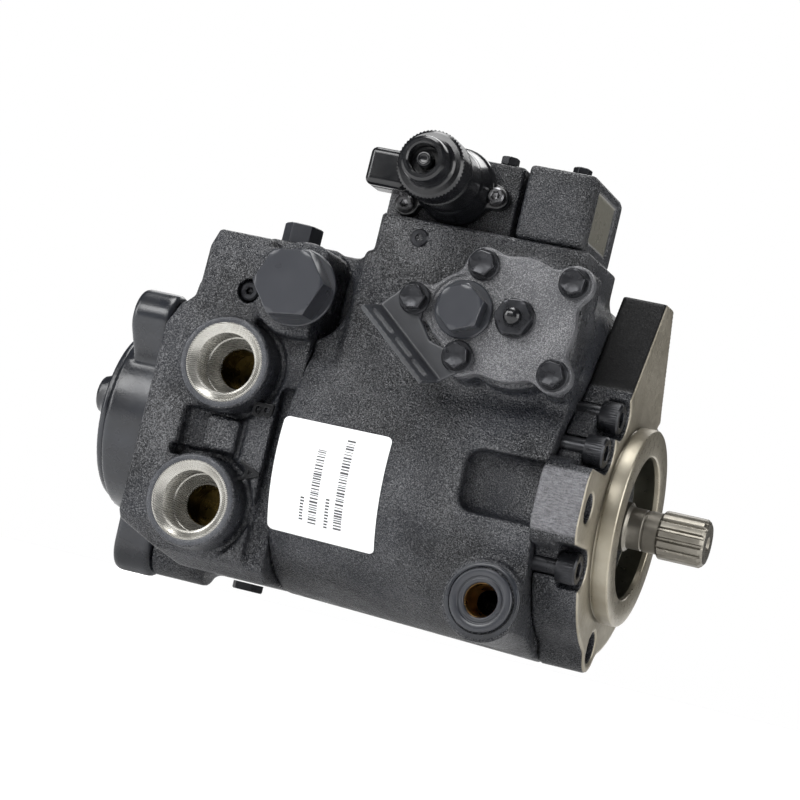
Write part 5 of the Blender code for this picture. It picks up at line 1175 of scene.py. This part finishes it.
def make_control_screws():
    """Hexagon screws on top of the control."""
    for k in (1, 2):
        node = "control_screw_%d" % k
        x, y, _ = middle(node)
        seat = high(node, 2) - 4.5
        head = hex_head("head", "Z", (x, y), seat, 1, 4.9, 4.5, (5.0, 0.8), 0.3 * k)
        stem = shank("Z", (x, y), low(node, 2), seat + 0.3, 3)
        screw = together("control_screw_%d_body" % k, [head, stem])
        dress(screw, "oxide", "pump", (node,))


# ---- label and port letters ----

LABEL_X = (-162.8, -104.5)
LABEL_Z = (-49.5, 13.5)
LABEL_CORNER = 3.0
LABEL_SEED = 7
LABEL_BAR = (0.35, 1.1)
LABEL_PROUD = 0.25
LABEL_THICK = 0.18


def label_bars(rng, start, stop, thin, wide):
    """Stations of dark bars between start and stop."""
    bars = []
    spot = start
    while spot < stop:
        width = rng.uniform(thin, wide)
        bars.append((spot, min(spot + width, stop)))
        spot += width + rng.uniform(thin, wide)
    return bars


def label_point(x, z, lift):
    """Point on the barrel, lifted off it; z is measured along the curve."""
    share = (x - SEAM_REAR) / (SEAM_FRONT - SEAM_REAR)
    radius = BARREL_REAR_R + (BARREL_R - BARREL_REAR_R) * share + lift
    angle = z / BARREL_R
    return (x, -radius * math.cos(angle), radius * math.sin(angle))


def corner_inset(z, z_stations, corner):
    """How far a row at z draws in to round the sheet's corners."""
    gap = corner - min(z - z_stations[0], z_stations[-1] - z)
    return 0.0 if gap <= 0 else corner - math.sqrt(max(corner ** 2 - gap ** 2, 0.0))


def label_sheet(name, x_stations, z_stations, lift, thick, corner=0.0):
    """Closed curved patch on the barrel."""
    points, faces = [], []
    rows, columns = len(x_stations), len(z_stations)
    centre, half_width = (x_stations[0] + x_stations[-1]) / 2, (x_stations[-1] - x_stations[0]) / 2
    drawn = [1 - corner_inset(z, z_stations, corner) / half_width for z in z_stations]
    for level in (lift + thick, lift):
        points += [label_point(centre + (x - centre) * d, z, level)
                   for x in x_stations for z, d in zip(z_stations, drawn)]
    half = rows * columns
    for i in range(rows - 1):
        for j in range(columns - 1):
            a = i * columns + j
            quad = (a, a + columns, a + columns + 1, a + 1)
            faces.append(quad)
            faces.append(tuple(half + q for q in reversed(quad)))
    rim = [i * columns for i in range(rows)] + [(rows - 1) * columns + j for j in range(1, columns)]
    rim += [i * columns + columns - 1 for i in range(rows - 2, -1, -1)]
    rim += list(range(columns - 2, 0, -1))
    for a, b in zip(rim, rim[1:] + rim[:1]):
        faces.append((a, b, half + b, half + a))
    mesh = bpy.data.meshes.new(name)
    mesh.from_pydata([tuple(c * MM for c in p) for p in points], [], faces)
    work = bmesh.new()
    work.from_mesh(mesh)
    bmesh.ops.recalc_face_normals(work, faces=work.faces)
    work.to_mesh(mesh)
    work.free()
    return finish_mesh(name, mesh, 30)


def make_label():
    """White label with two columns of plain bars and two rows of short marks."""
    rng = np.random.default_rng(LABEL_SEED)
    ends = [LABEL_CORNER * (1 - math.cos(math.radians(a))) for a in range(0, 90, 15)]
    steps = [LABEL_Z[0] + e for e in ends]
    steps += list(np.linspace(LABEL_Z[0] + LABEL_CORNER, LABEL_Z[1] - LABEL_CORNER, 25))
    steps += [LABEL_Z[1] - e for e in reversed(ends)]
    sheet = label_sheet("label", list(np.linspace(*LABEL_X, 9)), steps, LABEL_PROUD, LABEL_THICK,
                        LABEL_CORNER)
    dress(sheet, "label")
    marks = []
    for x0, x1, z0, z1 in LABEL_COLUMNS:
        for a, b in label_bars(rng, z0, z1, *LABEL_BAR):
            marks.append(label_sheet("mark", [x0, x1], [a, b], LABEL_PROUD + LABEL_THICK + 0.01, 0.02))
    for x0, x1, z0, z1, pitch in LABEL_ROWS:
        spot = z0
        while spot < z1:
            tall = rng.uniform(0.75, 1.0)
            marks.append(label_sheet("mark", [x0, x0 + (x1 - x0) * tall], [spot, spot + pitch * 0.55],
                                     LABEL_PROUD + LABEL_THICK + 0.01, 0.02))
            spot += pitch
    dress(together("label_marks", marks, 30), "ink")


LABEL_COLUMNS = ((-140.9, -136.5, -40.5, -0.5), (-127.1, -122.7, -40.5, 7.5))
LABEL_ROWS = ((-145.8, -143.6, -39.5, -26.5, 1.7), (-132.2, -130.0, -41.0, -24.5, 1.7))

LETTERS = (("b", "B", (-180.4, 13.7), -90), ("a", "A", (-179.5, -18.9), -90))


def make_letters():
    """Raised port letters, cast in outline on the end cover."""
    for name, text, (x, z), turn in LETTERS:
        curve = bpy.data.curves.new("letter_" + name, "FONT")
        curve.body = text
        curve.size = 15.5 * MM
        curve.extrude = 0.7 * MM
        curve.bevel_depth = 0.25 * MM
        curve.bevel_resolution = 2
        curve.align_x = "CENTER"
        curve.align_y = "CENTER"
        source = bpy.data.objects.new("letter_source", curve)
        bpy.context.scene.collection.objects.link(source)
        bpy.context.view_layer.update()
        mesh = bpy.data.meshes.new_from_object(source)
        bpy.data.objects.remove(source, do_unlink=True)
        mesh.transform(Matrix.Translation(Vector((x, LETTER_FACE, z)) * MM)
                       @ Matrix.Rotation(math.radians(90), 4, "X") @ Matrix.Rotation(math.radians(turn),
                                                                                     4, "Z"))
        dress(finish_mesh("port_letter_" + name, mesh), "letter")


LETTER_FACE = -59.3

looks["letter"] = smooth_paint("letter_paint", (0.003, 0.0032, 0.004), (0.006, 0.0065, 0.008), (0.2, 0.3),
                               0.02)

# The boss satin's pale flecks are painted highlights on its grains.
looks["boss"] = sand_paint("boss_satin", (0.030, 0.032, 0.038), (0.045, 0.048, 0.056), 0.5, 0.15, (0.3, 0.4),
                           (0.075, 0.078, 0.088), 0.6)
looks["thread"] = turned_metal("thread_metal", "Y", (-202, 0, -3.6), (0.27, 0.26, 0.235),
                               (0.46, 0.45, 0.42), 0.5,
                               (0.22, 0.34), 0.01, 0.75)
# Brassy metal darkened almost to black, painted shade deep in the port bores.
looks["shaded_core"] = plain_metal("core_metal_painted_shade", (0.012, 0.009, 0.004), (0.10, 0.07, 0.02), (0.2, 0.45))
looks["steel_dark"] = plain_metal("dark_steel", (0.10, 0.10, 0.105), (0.22, 0.22, 0.225), (0.22, 0.36))
looks["label"] = smooth_paint("label_paper", (0.80, 0.81, 0.82), (0.86, 0.865, 0.87), (0.45, 0.6), 0.02)
looks["ink"] = smooth_paint("label_ink", (0.03, 0.03, 0.033), (0.07, 0.07, 0.075), (0.4, 0.5), 0.01)

for port_name, port_centre in PORTS.items():
    make_port(port_name, port_centre)
make_pilot()
make_shaft()
make_drain()
make_plugs()
make_screws()
make_servo_fittings()
dress(cast("bracket_sheet", bracket_field, (-128, -106.6, 36), (-66, -88.6, 92), 0.6), "bracket", "pump",
      ("harness_bracket",))
make_solenoid()
make_control_screws()
make_label()
make_letters()


# ---- carried-over CAD nodes ----

SLOT_LOOKS = {"cast_paint": "cast", "machined_paint": "machined", "bare_iron": "iron", "steel": "steel",
              "black_oxide": "oxide", "spring_steel": "steel", "bronze": "bronze",
              "black_polymer": "polymer", "seal_rubber": "rubber"}
slot_of = {entry["node"]: entry["material_slot"] for entry in frame["record"]["subparts"]}


def dress_nodes():
    """Procedural materials on the CAD pieces that stay."""
    for name, node in frame["nodes"].items():
        look = looks[SLOT_LOOKS[slot_of[name]]].material
        for item in ([node] if node.type == "MESH" else [c for c in node.children if c.type == "MESH"]):
            if not item.material_slots:
                item.data.materials.append(look)
            for place in item.material_slots:
                place.material = look


dress_nodes()


# ---- stage and lights ----

FLOOR_DROP = 0.3 * MM
FLOOR_Z = cad_low[2] - FLOOR_DROP
FLOOR_HALF = 6.0
WHITE = (0.93, 0.93, 0.93)


def make_floor():
    """Plain pale floor with a very fine grain."""
    mesh = bpy.data.meshes.new("floor")
    corners = [(-FLOOR_HALF, -FLOOR_HALF), (FLOOR_HALF, -FLOOR_HALF), (FLOOR_HALF, FLOOR_HALF),
               (-FLOOR_HALF, FLOOR_HALF)]
    mesh.from_pydata([(u, v, FLOOR_Z) for u, v in corners], [], [(0, 1, 2, 3)])
    floor = bpy.data.objects.new("floor", mesh)
    bpy.context.scene.collection.objects.link(floor)
    look = Look("floor_white", WHITE, 0.6)
    look.colour(look.blend(look.noise(300.0), WHITE, (0.90, 0.90, 0.90)))
    look.shader.inputs["Emission Color"].default_value = (1, 1, 1, 1)
    path = look.node("ShaderNodeLightPath")
    look.link(look.ramp(path.outputs["Is Camera Ray"], 0, 1, FLOOR_GLOW, 1.0),
              look.shader.inputs["Emission Strength"])
    mesh.materials.append(look.material)


FLOOR_GLOW = 0.42


def make_world():
    """White surroundings: full white to the eye, softer as a light."""
    world = bpy.data.worlds.new("studio")
    bpy.context.scene.world = world
    world.use_nodes = True
    tree = world.node_tree
    back = next(n for n in tree.nodes if n.type == "BACKGROUND")
    back.inputs["Color"].default_value = (1, 1, 1, 1)
    path = tree.nodes.new("ShaderNodeLightPath")
    level = tree.nodes.new("ShaderNodeMapRange")
    level.inputs["To Min"].default_value = AMBIENT
    level.inputs["To Max"].default_value = 1.0
    tree.links.new(path.outputs["Is Camera Ray"], level.inputs["Value"])
    tree.links.new(level.outputs["Result"], back.inputs["Strength"])


AMBIENT = 0.07
LIGHT_AIM = Vector((-118, 0, 20)) * MM
LIGHTS = (
    ("top", (-0.30, -0.10, 1.45), (1.0, 0.6), 15.0),
    ("left", (-1.45, -0.95, 0.55), (0.5, 1.1), 13.0),
    ("front", (-0.75, -1.7, 1.05), (1.3, 0.7), 26.0),
    ("right", (1.35, -0.25, 0.40), (0.9, 1.0), 12.0),
    ("back", (-0.3, 1.3, 1.0), (1.4, 0.6), 8.0),
)


def make_lights():
    """Large soft boxes round the pump."""
    for name, place, size, power in LIGHTS:
        data = bpy.data.lights.new(name, "AREA")
        data.shape = "RECTANGLE"
        data.size, data.size_y = size
        data.energy = power
        lamp = bpy.data.objects.new(name, data)
        lamp.location = place
        lamp.rotation_euler = (LIGHT_AIM - Vector(place)).to_track_quat("-Z", "Y").to_euler()
        bpy.context.scene.collection.objects.link(lamp)


make_floor()
make_world()
make_lights()
bpy.context.scene.view_settings.view_transform = "Standard"
